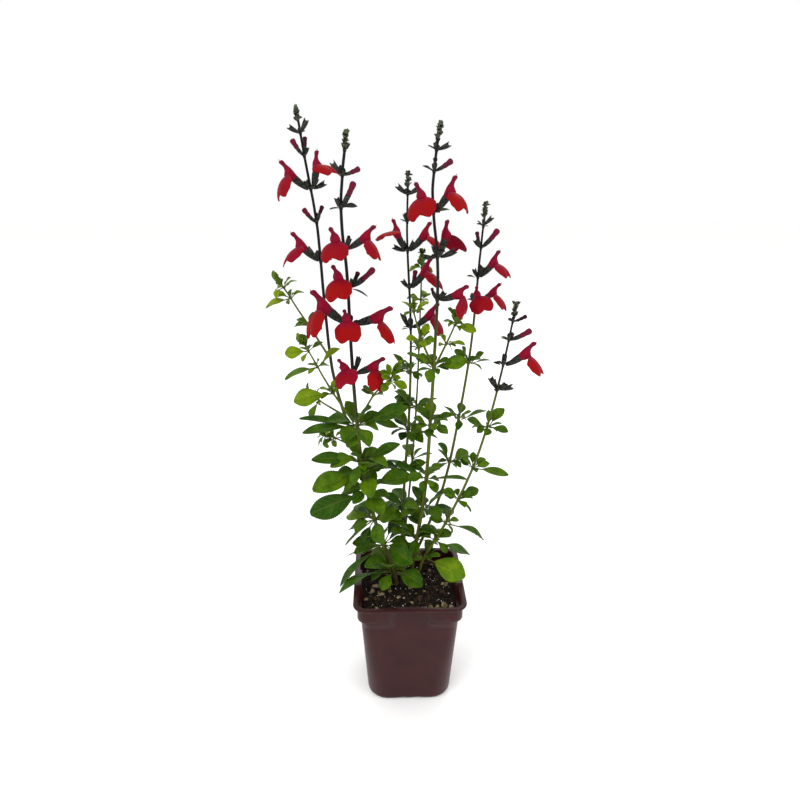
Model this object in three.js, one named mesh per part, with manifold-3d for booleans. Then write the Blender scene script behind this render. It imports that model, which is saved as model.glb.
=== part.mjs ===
// Potted autumn sage: a young flowering Salvia greggii in a square 3.5 inch nursery pot.
// Millimetres, +Z up. The origin is the centre of the pot's base, and the plant's front is -Y.
// The pot and soil are cut and joined solids. Each stem is one bent, tapering square rod that
// carries its own buds, and every pair of leaves or flowers sits on it with a small joint ring.

import * as THREE from 'three';
import { mergeVertices } from 'three/addons/utils/BufferGeometryUtils.js';
import Module from 'manifold-3d';

const wasm = await Module();
wasm.setup();

// ---- Driving dimensions ------------------------------------------------------------------

const CLEARANCE = 0.3; // between neighbouring pieces

// Pot
const POT_HEIGHT = 95;
const RIM_WIDTH = 89; // across the flats, outside the lip
const LIP_REACH = 3.2; // how far the lip stands out from the collar
const LIP_THICK = 1.8;
const COLLAR_STEP = 1.8; // how far the collar stands out from the body
const COLLAR_HEIGHT = 14;
const BASE_WIDTH = 68;
const WALL = 1.4;
const FLOOR = 1.8;
const TONGUE_WIDTH = 31; // flush band between two corner collars, at the collar's lower edge
const TONGUE_FLARE = 4; // how much each side of that band leans in towards the rim
const TOP_CORNER = 6; // corner radius at the rim
const BASE_CORNER = 17; // corner radius at the base
const FOOT_ROUND = 4; // rounding where the walls meet the base
const DRAIN_ARCH = 5.5; // radius of each drain arch
const DRAIN_RISE = 2.2; // height of each drain arch
const DRAIN_SPACING = 12; // between the two arches on a side
const DRAIN_DEPTH = 7; // how far an arch runs in under the floor

// Soil
const SOIL_BELOW_RIM = 10;
const SOIL_MOUND = 1.5; // rise of the soil at its middle
const MOUND_TOP = 0.6; // width of the mound's level top, as a share of the soil's

// Stems
const ROOT_DEPTH = 14; // how deep the stems stand in the soil
const STEM_SIDES = 4; // sage stems are square
const STEM_STEP = 20; // length of one bend step
const JOINT_WALL = 0.9; // thickness of the joint ring that carries leaves or flowers
const JOINT_HEIGHT = 2.2;

// Leaves
const RIM_LEAF_LENGTH = 0.53 * RIM_WIDTH; // the low leaf that hangs out over the pot's left rim
const RIM_LEAF_RISE = 3; // height of its joint above the rim
const FALLING_LEAF_RISE = 30; // the same for the long leaf above it, which falls past the rim
const FALLING_LEAF_OUT = 21; // from the pot's middle to that leaf's joint
const FALLING_LEAF_GAP = 6.5; // between that leaf and the rim
const STEM_LEAN = 17; // degrees that the stem leans there
const LEAF_THICK = 0.6;
const PETIOLE_SHARE = 0.24; // part of a leaf that is stalk
const PETIOLE_WIDTH = 1;
const SMALL_LEAF = 22; // shorter leaves have a plainer outline
const TINY_LEAF = 14; // and the shortest are plain diamonds
const LEAF_DROOP = 24; // degrees that a leaf bends down from base to tip

// Flowers
const BUD_SIDES = 4;
const FLOWER_SIDES = 4;
const FLOWER_LENGTH = 26; // from joint to hood, in a flower of the full size
const CALYX_LENGTH = 12; // with its stalk
const CALYX_MOUTH = 2.7;
const THROAT_AT = 18; // where the corolla tube opens
const THROAT_RADIUS = 2.9;
const HOOD_RADIUS = 1.5;
const LIP_WIDTH = 17;
const LIP_LENGTH = 13;
const LIP_SHEET = 0.9;
const LIP_LEAN = 22; // degrees that the lower lip leans back towards the calyx
const FLOWER_CURL = 14; // degrees that a flower curls up along its length

// ---- Materials ---------------------------------------------------------------------------

const paint = (color, roughness) => new THREE.MeshStandardMaterial({ color, roughness, metalness: 0 });
const POT_PLASTIC = paint('#452b2d', 0.45);
const SOIL_MIX = paint('#1d1915', 0.95);
const STEM_SKIN = paint('#475b29', 0.6);
const LEAF_SKIN = paint('#35611c', 0.55);
const PETAL = paint('#a80512', 0.55);

// ---- Solids ------------------------------------------------------------------------------

/** A closed geometry as a solid that can be joined and cut. */
function solidOf(geometry) {
  const bare = geometry.clone();
  bare.deleteAttribute('normal');
  bare.deleteAttribute('uv');
  const merged = mergeVertices(bare, 1e-4);
  const corners = merged.index.array;
  const kept = [];
  for (let i = 0; i < corners.length; i += 3) {
    const [a, b, c] = corners.slice(i, i + 3);
    if (a !== b && b !== c && c !== a) kept.push(a, b, c);
  }
  const vertProperties = new Float32Array(merged.attributes.position.array);
  return new wasm.Manifold(new wasm.Mesh({ numProp: 3, vertProperties, triVerts: new Uint32Array(kept) }));
}

/** A solid as a geometry that a mesh can show. */
function geometryOf(solid) {
  const mesh = solid.getMesh();
  const geometry = new THREE.BufferGeometry();
  geometry.setAttribute('position', new THREE.BufferAttribute(new Float32Array(mesh.vertProperties), 3));
  geometry.setIndex(new THREE.BufferAttribute(new Uint32Array(mesh.triVerts), 1));
  geometry.computeVertexNormals();
  return geometry;
}

/** Several closed geometries joined to one solid. */
function join(geometries) {
  return geometries.map(solidOf).reduce((whole, piece) => whole.add(piece));
}

/** Moves every vertex of a geometry by a function of its place. */
function reshape(geometry, move) {
  const place = geometry.attributes.position;
  const point = new THREE.Vector3();
  for (let i = 0; i < place.count; i += 1) {
    move(point.fromBufferAttribute(place, i));
    place.setXYZ(i, point.x, point.y, point.z);
  }
  return geometry;
}

/** Bends a geometry that runs along +X: its far end turns by an angle towards +Z. */
function curl(geometry, length, degrees) {
  const rate = THREE.MathUtils.degToRad(degrees) / length;
  return reshape(geometry, (point) => {
    const turn = rate * point.x;
    const across = point.z;
    point.x = Math.sin(turn) / rate - across * Math.sin(turn);
    point.z = (1 - Math.cos(turn)) / rate + across * Math.cos(turn);
  });
}

// ---- Pot ---------------------------------------------------------------------------------

/** A block of rounded squares, one at each level [height, half width, corner radius]. */
function squareLoft(levels, cornerSteps = 3) {
  const outline = new THREE.Shape();
  for (let side = 0; side < 4; side += 1) {
    const turn = (side * Math.PI) / 2;
    const centre = new THREE.Vector2(1, 1).rotateAround(new THREE.Vector2(), turn);
    outline.absarc(centre.x, centre.y, 1, turn, turn + Math.PI / 2, false);
  }
  const steps = levels.length - 1;
  const options = { depth: steps, steps, bevelEnabled: false, curveSegments: cornerSteps };
  return reshape(new THREE.ExtrudeGeometry(outline, options), (point) => {
    const [height, half, radius] = levels[Math.round(point.z)];
    const sideX = Math.sign(point.x);
    const sideY = Math.sign(point.y);
    point.x = sideX * (half - radius) + (point.x - sideX) * radius;
    point.y = sideY * (half - radius) + (point.y - sideY) * radius;
    point.z = height;
  });
}

const COLLAR_HALF = RIM_WIDTH / 2 - LIP_REACH;
const SHOULDER_HALF = COLLAR_HALF - COLLAR_STEP;

/** Half the width of the pot's outside at a height. */
const bodyHalf = (height) => BASE_WIDTH / 2 + ((SHOULDER_HALF - BASE_WIDTH / 2) * height) / POT_HEIGHT;

/** The radius of the pot's outer corners at a height. */
const bodyRound = (height) => BASE_CORNER + ((TOP_CORNER - BASE_CORNER) * height) / POT_HEIGHT;

/** The pot's outer form, or the same form set in by a wall: tapered body and four corner collars. */
function potForm(inset, bottom, top) {
  const collarFoot = POT_HEIGHT - COLLAR_HEIGHT;
  const half = (height) => bodyHalf(height) - inset;
  const round = (height) => bodyRound(height) - inset;
  const body = squareLoft([
    [bottom, half(0) - FOOT_ROUND / 2, round(0) - FOOT_ROUND / 2],
    [bottom + FOOT_ROUND, half(bottom + FOOT_ROUND), round(bottom + FOOT_ROUND)],
    [top, half(top), round(POT_HEIGHT)],
  ]);
  const collarHalf = COLLAR_HALF - inset;
  const collar = squareLoft([
    [collarFoot + inset, collarHalf, TOP_CORNER + COLLAR_STEP - inset],
    [top, collarHalf, TOP_CORNER + COLLAR_STEP - inset],
  ]);
  const window = new THREE.Shape();
  const lower = TONGUE_WIDTH / 2 + inset;
  window.moveTo(-lower - 1, collarFoot - 1);
  window.lineTo(lower + 1, collarFoot - 1);
  window.lineTo(lower - TONGUE_FLARE, top + 1);
  window.lineTo(-lower + TONGUE_FLARE, top + 1);
  let corners = solidOf(collar);
  for (let side = 0; side < 4; side += 1) {
    const cut = new THREE.ExtrudeGeometry(window, { depth: 4 * COLLAR_STEP, bevelEnabled: false });
    cut.rotateX(Math.PI / 2).translate(0, -(SHOULDER_HALF - inset) + COLLAR_STEP, 0);
    corners = corners.subtract(solidOf(cut.rotateZ((side * Math.PI) / 2)));
  }
  return solidOf(body).add(corners);
}

function pot() {
  const lip = squareLoft([
    [POT_HEIGHT - LIP_THICK - LIP_REACH / 2, COLLAR_HALF - 0.2, TOP_CORNER + COLLAR_STEP],
    [POT_HEIGHT - LIP_THICK, COLLAR_HALF + LIP_REACH, TOP_CORNER + LIP_REACH],
    [POT_HEIGHT, COLLAR_HALF + LIP_REACH, TOP_CORNER + LIP_REACH],
  ]);
  const shell = potForm(0, 0, POT_HEIGHT).add(solidOf(lip)).subtract(potForm(WALL, FLOOR, POT_HEIGHT + 1));
  const arch = new THREE.CylinderGeometry(DRAIN_ARCH, DRAIN_ARCH, DRAIN_DEPTH * 2, 10);
  arch.scale(1, 1, DRAIN_RISE / DRAIN_ARCH);
  let drained = shell;
  for (let side = 0; side < 4; side += 1) {
    for (const offset of [-DRAIN_SPACING / 2, DRAIN_SPACING / 2]) {
      const cut = arch.clone().translate(offset, -BASE_WIDTH / 2, 0).rotateZ((side * Math.PI) / 2);
      drained = drained.subtract(solidOf(cut));
    }
  }
  return drained;
}

// ---- Stems -------------------------------------------------------------------------------

const SOIL_LEVEL = POT_HEIGHT - SOIL_BELOW_RIM;

/** A smooth line through hand-placed points [x, y, height above the soil]. */
const route = (points) => new THREE.CatmullRomCurve3(points.map((p) => new THREE.Vector3(...p)));

/** The place and heading on a route: X stays to the right and Z runs along the route. */
function frameOn(curve, t) {
  const along = curve.getTangentAt(t);
  const right = new THREE.Vector3(1, 0, 0).addScaledVector(along, -along.x).normalize();
  const back = along.clone().cross(right);
  return new THREE.Matrix4().makeBasis(right, back, along).setPosition(curve.getPointAt(t));
}

/** The share of a rising route at which it reaches a height. */
function shareAt(curve, height) {
  let low = 0;
  let high = 1;
  for (let i = 0; i < 24; i += 1) {
    const middle = (low + high) / 2;
    if (curve.getPointAt(middle).z < height) low = middle;
    else high = middle;
  }
  return low;
}

/** A tapering rod that follows a stem's route, grown all round by an allowance. */
function rod({ curve, thick, thin }, allowance = 0) {
  const steps = Math.max(3, Math.round(curve.getLength() / STEM_STEP));
  const profile = [new THREE.Vector2(0, 0)];
  for (let i = 0; i <= steps; i += 1) {
    const t = i / steps;
    profile.push(new THREE.Vector2(THREE.MathUtils.lerp(thick, thin, t) / 2 + allowance, t));
  }
  profile.push(new THREE.Vector2(0, 1));
  const straight = new THREE.LatheGeometry(profile, STEM_SIDES).rotateX(Math.PI / 2);
  return reshape(straight, (point) => {
    const t = THREE.MathUtils.clamp(point.z, 0, 1);
    point.setZ(0).applyMatrix4(frameOn(curve, t));
  });
}

// ---- Leaves, buds and flowers ------------------------------------------------------------
// Each is made lying along +X from its base, then swung round the stem by turn (0 is right,
// 90 is back, 180 is left, -90 is front) and lifted by rise, both in degrees.

/** A flat blade cut from an outline of [distance along, half width] pairs, ending in a point. */
function blade(pairs, length, droop) {
  const outline = new THREE.Shape();
  const lower = pairs.map(([x, y]) => new THREE.Vector2(x, -y));
  const upper = pairs.map(([x, y]) => new THREE.Vector2(x, y)).reverse();
  outline.setFromPoints([...lower, new THREE.Vector2(length, 0), ...upper]);
  const sheet = new THREE.ExtrudeGeometry(outline, { depth: LEAF_THICK, bevelEnabled: false });
  return curl(sheet.translate(0, 0, -LEAF_THICK / 2), length, -droop);
}

function leaf(turn, rise, length, width, droop = LEAF_DROOP) {
  const stalk = length * PETIOLE_SHARE;
  const rest = length - stalk;
  const foot = [[0, PETIOLE_WIDTH / 2], [stalk, PETIOLE_WIDTH / 2]];
  const belly = [[stalk + rest * 0.28, width * 0.45], [stalk + rest * 0.66, width * 0.46]];
  const small = [[stalk + rest * 0.5, width / 2]];
  const tiny = [[0, PETIOLE_WIDTH / 2], [length * 0.55, width / 2]];
  const full = [...foot, ...(length < SMALL_LEAF ? small : belly)];
  const pairs = length < TINY_LEAF ? tiny : full;
  return { turn, lift: rise + droop / 2, geometry: blade(pairs, length, droop) };
}

function bract(turn, rise, length) {
  const pairs = [[length * 0.4, length * 0.25]];
  return { turn, lift: rise, geometry: blade([[0, length * 0.08], ...pairs], length, LEAF_DROOP) };
}

/** A round, pointed body from [distance along, radius] pairs. */
function spindle(pairs, sides, degrees) {
  const length = pairs.at(-1)[0];
  const profile = [[0, 0], ...pairs, [length, 0]].map(([x, r]) => new THREE.Vector2(r, x));
  return curl(new THREE.LatheGeometry(profile, sides).rotateZ(-Math.PI / 2), length, degrees);
}

function calyx(turn, rise, length) {
  const pairs = [
    [0, 0.6],
    [length, 2.3],
  ];
  return { turn, lift: rise, geometry: spindle(pairs, BUD_SIDES, 8) };
}

function bud(turn, rise, length) {
  const pairs = [
    [0, 0.6],
    [length * 0.7, 2.3],
    [length, 0.9],
  ];
  return { turn, lift: rise, geometry: spindle(pairs, BUD_SIDES, 16) };
}

/** An open flower: calyx, corolla tube and finger-like hood in one, and a broad lower lip. */
function flower(turn, rise, length) {
  const size = length / FLOWER_LENGTH;
  const tube = spindle(
    [
      [0, 0.6],
      [CALYX_LENGTH, CALYX_MOUTH],
      [THROAT_AT, THROAT_RADIUS],
      [THROAT_AT + 3, HOOD_RADIUS],
      [FLOWER_LENGTH, HOOD_RADIUS * 0.7],
    ],
    FLOWER_SIDES,
    FLOWER_CURL,
  );
  const half = LIP_WIDTH / 2;
  const heart = new THREE.Shape();
  heart.moveTo(0, -2);
  heart.lineTo(LIP_LENGTH * 0.5, -half);
  heart.lineTo(LIP_LENGTH, -half * 0.45);
  heart.lineTo(LIP_LENGTH * 0.88, 0);
  heart.lineTo(LIP_LENGTH, half * 0.45);
  heart.lineTo(LIP_LENGTH * 0.5, half);
  heart.lineTo(0, 2);
  const lip = new THREE.ExtrudeGeometry(heart, { depth: LIP_SHEET, bevelEnabled: false });
  lip.translate(0, 0, -LIP_SHEET / 2).rotateY(THREE.MathUtils.degToRad(90 + LIP_LEAN));
  lip.translate(THROAT_AT - 1, 0, 0);
  const whole = geometryOf(join([tube, lip])).scale(size, size, size);
  return { turn, lift: rise - FLOWER_CURL / 3, geometry: whole };
}

/** The growing tip: a small cone of folded bracts, along the stem. */
function tip(length) {
  const pairs = [
    [0, 0.7],
    [length * 0.4, length * 0.24],
    [length, 0.4],
  ];
  return { turn: 0, lift: 90, geometry: spindle(pairs, BUD_SIDES, 4) };
}

/** Pieces swung into place round a joint, starting a set distance from the stem's middle. */
function around(pieces, start) {
  return pieces.map(({ turn, lift, geometry }) => {
    const placed = geometry.clone().rotateY(THREE.MathUtils.degToRad(-lift));
    return placed.translate(lift === 90 ? -0.2 : start, 0, 0).rotateZ(THREE.MathUtils.degToRad(turn));
  });
}

/** How a leaf falls from its joint so that it just clears the rim, in degrees. */
const FALL = Math.atan2(FALLING_LEAF_RISE - FALLING_LEAF_GAP, RIM_WIDTH / 2 - FALLING_LEAF_OUT);
const FALLING_LEAF_TILT = STEM_LEAN - THREE.MathUtils.radToDeg(FALL);

// ---- The plant ---------------------------------------------------------------------------
// Each stem: its route from root to tip, its thickness at both ends, the buds and bracts that
// grow from it as [height, pieces], and its joints of leaves and of open flowers.
const STEMS = [
  {
    name: '1',
    thick: 2.6,
    thin: 1.3,
    points: [
      [-10, 12, -ROOT_DEPTH],
      [-11, 12, 5],
      [-22, 13, 36],
      [-40, 17, 114],
      [-57, 20, 176],
      [-62, 22, 230],
      [-66, 26, 293],
      [-73, 28, 338],
      [-77, 30, 367],
    ],
    grows: [
      [366, [tip(8), bract(170, 30, 5), bract(-10, 35, 5)]],
      [361, [calyx(0, 50, 6), calyx(190, 50, 6), bract(170, 25, 8)]],
      [352, [calyx(200, 40, 9), calyx(-25, 55, 10)]],
      [337, [bud(195, 50, 14), bud(-30, 65, 13), bract(165, 15, 9)]],
      [292, [bud(165, 40, 14), bud(-110, 70, 12), bud(-25, 50, 13)]],
    ],
    leaves: [],
    flowers: [
      [315, [flower(200, 45, 27), flower(-30, 60, 26), calyx(20, 20, 10), bract(180, 5, 9)]],
      [265, [flower(205, 42, 28), calyx(155, 50, 13), bract(20, 15, 7)]],
    ],
    shoots: [
      {
        name: 'a',
        from: 196,
        points: [
          [-75, 26, 217],
          [-88, 28, 237],
          [-94, 30, 247],
        ],
        grows: [
          [217, [leaf(210, 25, 11, 4), leaf(-20, 35, 11, 4)]],
          [237, [leaf(190, 10, 19, 5), leaf(-10, 45, 18, 6), leaf(-80, 10, 8, 4)]],
          [246, [leaf(-85, 70, 13, 9), leaf(90, 40, 9, 5)]],
        ],
      },
      {
        name: 'b',
        from: 148,
        points: [
          [-60, 19, 153],
          [-68, 19, 158],
          [-77, 20, 166],
        ],
        grows: [
          [158, [leaf(200, -5, 14, 6), leaf(-25, 35, 14, 7)]],
          [165, [leaf(205, 25, 9, 4), leaf(-25, 45, 9, 4), leaf(100, 30, 8, 4)]],
        ],
      },
      {
        name: 'c',
        from: 121,
        points: [
          [-57, 13, 130],
          [-68, 10, 135],
        ],
        grows: [
          [130, [leaf(10, -45, 17, 7), leaf(-50, -60, 13, 5)]],
          [134, [leaf(195, 15, 11, 5), leaf(210, -35, 12, 6), leaf(100, 40, 9, 4)]],
        ],
      },
    ],
  },
  {
    name: '2',
    thick: 2.8,
    thin: 1.3,
    points: [
      [-9, 5, -ROOT_DEPTH],
      [-10, 5, 5],
      [-26, 1, 59],
      [-35, -2, 105],
      [-39, -6, 148],
      [-42, -11, 212],
      [-43, -16, 262],
      [-46, -21, 305],
      [-41, -26, 350],
    ],
    grows: [
      [349, [tip(9), bract(185, 45, 7), bract(0, 45, 7)]],
      [341, [calyx(90, 60, 6), bract(190, 40, 9), bract(-15, 45, 9)]],
      [326, [calyx(180, 50, 10), calyx(-10, 28, 12), bract(-90, 20, 6)]],
      [306, [bud(-10, 50, 19), bract(15, 15, 11), bract(200, 5, 7)]],
    ],
    leaves: [
      [SOIL_BELOW_RIM + RIM_LEAF_RISE, [leaf(205, 8, RIM_LEAF_LENGTH, 13, 60)]],
      [
        SOIL_BELOW_RIM + FALLING_LEAF_RISE,
        [leaf(190, FALLING_LEAF_TILT, 48, 11), leaf(-50, -12, 31, 18), leaf(170, -10, 30, 5)],
      ],
      [64, [leaf(190, -30, 29, 12), leaf(-130, -40, 21, 8), leaf(-10, -28, 25, 13)]],
      [90, [leaf(190, -8, 44, 9), leaf(5, -38, 27, 9), leaf(-160, -35, 30, 8), leaf(-60, -45, 20, 8)]],
      [105, [leaf(-158, 2, 38, 18, 10), leaf(-125, 30, 16, 7), leaf(20, 15, 18, 7)]],
      [117, [leaf(185, 12, 35, 10), leaf(-10, 26, 32, 9), leaf(-85, 0, 17, 7)]],
      [148, [leaf(-10, 22, 39, 12), leaf(172, 8, 41, 9), leaf(-165, 3, 38, 9), leaf(-110, -20, 20, 8)]],
    ],
    flowers: [
      [190, [flower(-110, 36, 24), flower(-25, 22, 27), calyx(45, 65, 12), calyx(150, 30, 10)]],
      [227, [flower(-95, 32, 24), flower(190, 38, 34), flower(-12, 14, 31), bract(-50, -25, 11)]],
      [253, [flower(-112, 38, 26), bud(-10, 26, 22), bud(25, 45, 12), leaf(-35, -15, 15, 5)]],
      [279, [flower(-105, 35, 26), flower(-12, 24, 25), bud(30, 60, 9), bract(170, 20, 8)]],
    ],
    shoots: [
      {
        name: 'a',
        from: 151,
        points: [
          [-55, -10, 174],
          [-66, -13, 196],
          [-72, -14, 209],
        ],
        grows: [
          [175, [leaf(190, 20, 28, 7), leaf(-140, 50, 12, 5), leaf(-20, 20, 14, 6)]],
          [196, [leaf(185, 5, 24, 8), leaf(-25, 28, 14, 7), leaf(15, 10, 20, 4)]],
          [208, [leaf(-85, 70, 16, 9), leaf(170, 15, 17, 5), leaf(60, 30, 9, 5)]],
        ],
      },
      {
        name: 'b',
        from: 151,
        points: [
          [-27, -11, 174],
          [-14, -16, 187],
        ],
        grows: [
          [174, [leaf(200, 20, 12, 6), leaf(-65, -30, 12, 6)]],
          [186, [leaf(180, 70, 18, 4), leaf(-15, 25, 13, 5), leaf(-60, -25, 10, 5)]],
        ],
      },
    ],
  },
  {
    name: '3',
    thick: 2.2,
    thin: 1.1,
    points: [
      [-4, 15, -ROOT_DEPTH],
      [-5, 15, 17],
      [-3, 19, 85],
      [1, 22, 149],
      [2, 26, 213],
      [-1, 31, 286],
      [0, 34, 325],
    ],
    grows: [
      [324, [tip(7), bract(180, 40, 6), bract(0, 45, 6)]],
      [311, [calyx(180, 42, 10), calyx(0, 38, 10)]],
      [292, [bract(210, 30, 6), bud(-10, 38, 12)]],
    ],
    leaves: [
      [59, [leaf(155, 0, 19, 10), leaf(30, -5, 17, 9), leaf(80, 10, 20, 9)]],
      [98, [leaf(200, 20, 19, 8), leaf(0, 28, 16, 8), leaf(125, 0, 22, 9)]],
      [133, [leaf(190, 15, 27, 8), leaf(-15, -10, 22, 5), leaf(-115, -20, 13, 6), leaf(125, 25, 16, 8)]],
      [151, [leaf(145, 52, 16, 8), leaf(-15, 30, 17, 7), leaf(105, 20, 16, 7)]],
      [180, [leaf(160, 45, 18, 6), leaf(-125, 30, 13, 7), leaf(-25, 15, 15, 8), leaf(110, 5, 16, 7)]],
    ],
    flowers: [
      [214, [flower(-10, 35, 27), calyx(180, 70, 13), bract(200, 10, 6)]],
      [244, [flower(-15, 44, 27), bud(15, 62, 14), bud(-20, -15, 18)]],
      [271, [flower(205, 62, 25), flower(-10, 40, 26), calyx(165, 28, 10)]],
    ],
    shoots: [],
  },
  {
    name: '4',
    thick: 1.7,
    thin: 0.9,
    points: [
      [-4, 22, -ROOT_DEPTH],
      [-4, 21, 13],
      [3, 26, 95],
      [7, 31, 150],
      [10, 39, 233],
      [11, 42, 269],
    ],
    grows: [
      [268, [tip(7), bract(180, 40, 6), bract(0, 45, 6)]],
      [257, [bract(170, 35, 6), bract(-15, 40, 6)]],
      [233, [leaf(200, 25, 9, 4), leaf(20, 30, 9, 4)]],
      [195, [leaf(110, 25, 15, 7), leaf(-70, 20, 11, 5)]],
      [148, [leaf(20, 20, 18, 8), leaf(150, 15, 20, 9)]],
      [105, [leaf(100, 10, 22, 10), leaf(10, 15, 16, 7)]],
      [62, [leaf(120, 15, 24, 11), leaf(30, 10, 18, 9)]],
    ],
    leaves: [],
    flowers: [],
    shoots: [],
  },
  {
    name: '5',
    thick: 2.7,
    thin: 1.3,
    points: [
      [2, 9, -ROOT_DEPTH],
      [3, 8, 11],
      [13, 4, 88],
      [16, 1, 145],
      [18, -3, 201],
      [19, -7, 267],
      [14, -11, 315],
      [18, -14, 355],
    ],
    grows: [
      [354, [tip(10), bract(180, 45, 7), bract(0, 50, 7)]],
      [341, [calyx(90, 62, 8), calyx(-10, 38, 9), bract(175, 30, 6)]],
      [328, [bud(-15, 25, 14), calyx(90, 72, 9), bract(165, 30, 8)]],
    ],
    leaves: [
      [42, [leaf(-135, -25, 21, 12), leaf(15, -22, 18, 6)]],
      [70, [leaf(-25, 55, 28, 12), leaf(-155, 25, 18, 10), leaf(8, 5, 22, 8), leaf(85, 10, 16, 7)]],
      [99, [leaf(188, -6, 34, 15), leaf(165, 15, 24, 8), leaf(-10, 6, 29, 9), leaf(-65, -15, 15, 7)]],
      [145, [leaf(20, 22, 17, 8), leaf(-100, -10, 14, 8), leaf(205, 32, 15, 6), leaf(-15, 50, 13, 4)]],
      [192, [leaf(195, 32, 22, 9), leaf(-12, 18, 23, 10), leaf(90, 20, 13, 6)]],
    ],
    flowers: [
      [242, [flower(-30, 20, 25), bud(0, 50, 16), bud(-5, 25, 20), bud(130, 50, 9)]],
      [272, [flower(50, 50, 26), calyx(-20, 25, 12), calyx(200, 20, 9)]],
      [302, [flower(-125, 48, 26), flower(-20, 45, 27), bract(15, 12, 10), bract(180, 10, 7)]],
    ],
    shoots: [
      {
        name: 'a',
        from: 196,
        points: [
          [8, -8, 214],
          [2, -14, 237],
        ],
        grows: [
          [214, [leaf(195, 30, 11, 5), leaf(-20, 35, 10, 5)]],
          [236, [leaf(200, 40, 12, 6), leaf(55, 70, 10, 5), leaf(-15, 25, 13, 7), leaf(-90, 10, 9, 5)]],
        ],
      },
      {
        name: 'b',
        from: 196,
        points: [
          [26, -5, 210],
          [32, -6, 224],
          [34, -8, 232],
        ],
        grows: [
          [210, [leaf(-15, 25, 13, 6), leaf(-110, 10, 12, 6)]],
          [224, [leaf(-10, 5, 15, 5), leaf(100, 15, 9, 4)]],
          [231, [leaf(200, 30, 11, 6), leaf(-20, 12, 11, 7), leaf(80, 45, 9, 5)]],
        ],
      },
    ],
  },
  {
    name: '6',
    thick: 2.2,
    thin: 1.1,
    points: [
      [2, 14, -ROOT_DEPTH],
      [3, 14, 12],
      [17, 14, 51],
      [29, 14, 88],
      [39, 15, 143],
      [47, 16, 203],
      [51, 17, 267],
      [54, 18, 305],
    ],
    grows: [
      [304, [tip(8), bract(180, 40, 6), bract(0, 45, 6)]],
      [290, [calyx(0, 58, 9), bract(180, 50, 6)]],
      [275, [bud(165, 60, 12), bud(-10, 40, 18), bract(-30, 5, 8)]],
    ],
    leaves: [
      [108, [leaf(205, 50, 20, 9), leaf(-15, 32, 15, 8), leaf(120, 10, 16, 6), leaf(40, 20, 18, 8)]],
      [144, [leaf(200, 38, 16, 7), leaf(-15, 32, 21, 9), leaf(80, 35, 15, 6)]],
      [189, [leaf(220, 58, 16, 6), leaf(-30, 50, 14, 6), leaf(140, 30, 14, 7), leaf(10, 12, 16, 5)]],
    ],
    flowers: [
      [235, [flower(-95, 35, 22), flower(-15, 38, 22), calyx(100, 30, 10)]],
      [254, [flower(-25, 48, 24), bract(190, 20, 7)]],
    ],
    shoots: [],
  },
  {
    name: '7',
    thick: 2.2,
    thin: 1,
    points: [
      [7, 3, -ROOT_DEPTH],
      [8, 3, 14],
      [30, -1, 62],
      [48, -8, 111],
      [58, -14, 153],
      [65, -22, 199],
      [70, -30, 244],
    ],
    grows: [
      [243, [tip(6), bract(180, 30, 6), bract(-20, 35, 7)]],
      [232, [bud(-5, 20, 10), bract(-55, -25, 5)]],
      [218, [bud(-10, 24, 17), bract(180, 25, 6)]],
      [180, [calyx(180, 55, 11), calyx(0, 22, 11)]],
    ],
    leaves: [
      [27, [leaf(-14, 2, 34, 16)]],
      [44, [leaf(-12, 8, 28, 14), leaf(95, 5, 16, 9)]],
      [61, [leaf(-8, -2, 31, 11), leaf(80, 0, 20, 9)]],
      [84, [leaf(30, 30, 17, 10), leaf(-165, 15, 13, 6), leaf(-40, -12, 12, 6)]],
      [113, [leaf(-10, 8, 25, 7), leaf(180, 22, 11, 5), leaf(100, 50, 11, 5)]],
      [149, [leaf(35, 50, 17, 11), leaf(190, 18, 16, 6), leaf(-25, 8, 14, 6), leaf(-100, 35, 13, 6)]],
    ],
    flowers: [[199, [flower(-15, 42, 27), bract(170, 20, 6)]]],
    shoots: [],
  },
];
const SHOOT_THICK = 1.4;
const SHOOT_THIN = 0.9;

const plant = new THREE.Group();
plant.name = 'plant';
plant.position.z = SOIL_LEVEL;

function show(name, geometry, material) {
  const mesh = new THREE.Mesh(geometry, material);
  mesh.name = name;
  return mesh;
}

/** The radius of a rod, to its corners, at a share of its length. */
const radiusAt = ({ thick, thin }, t) => THREE.MathUtils.lerp(thick, thin, t) / 2;

/** A stem or shoot with the small pieces that grow straight out of it. */
function growing(stem) {
  const parts = [rod(stem)];
  for (const [height, pieces] of stem.grows) {
    const t = shareAt(stem.curve, height);
    const place = frameOn(stem.curve, t);
    for (const piece of around(pieces, radiusAt(stem, t) * 0.3)) parts.push(piece.applyMatrix4(place));
  }
  return geometryOf(join(parts));
}

/** A joint ring round a stem at a height, with the leaves or flowers that it carries. */
function joint(stem, name, height, pieces, material) {
  const t = shareAt(stem.curve, height);
  const inner = radiusAt(stem, t) + CLEARANCE * Math.SQRT2;
  const outer = inner + JOINT_WALL * Math.SQRT2;
  const half = JOINT_HEIGHT / 2;
  const section = [
    [inner, -half],
    [outer, -half],
    [outer, half],
    [inner, half],
    [inner, -half],
  ].map(([r, y]) => new THREE.Vector2(r, y));
  const ring = new THREE.LatheGeometry(section, STEM_SIDES).rotateX(Math.PI / 2);
  const mesh = show(name, geometryOf(join([ring, ...around(pieces, inner + JOINT_WALL * 0.45)])), material);
  mesh.applyMatrix4(frameOn(stem.curve, t));
  plant.add(mesh);
}

const letter = (index) => String.fromCharCode('a'.charCodeAt(0) + index);
const rods = [];

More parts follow.
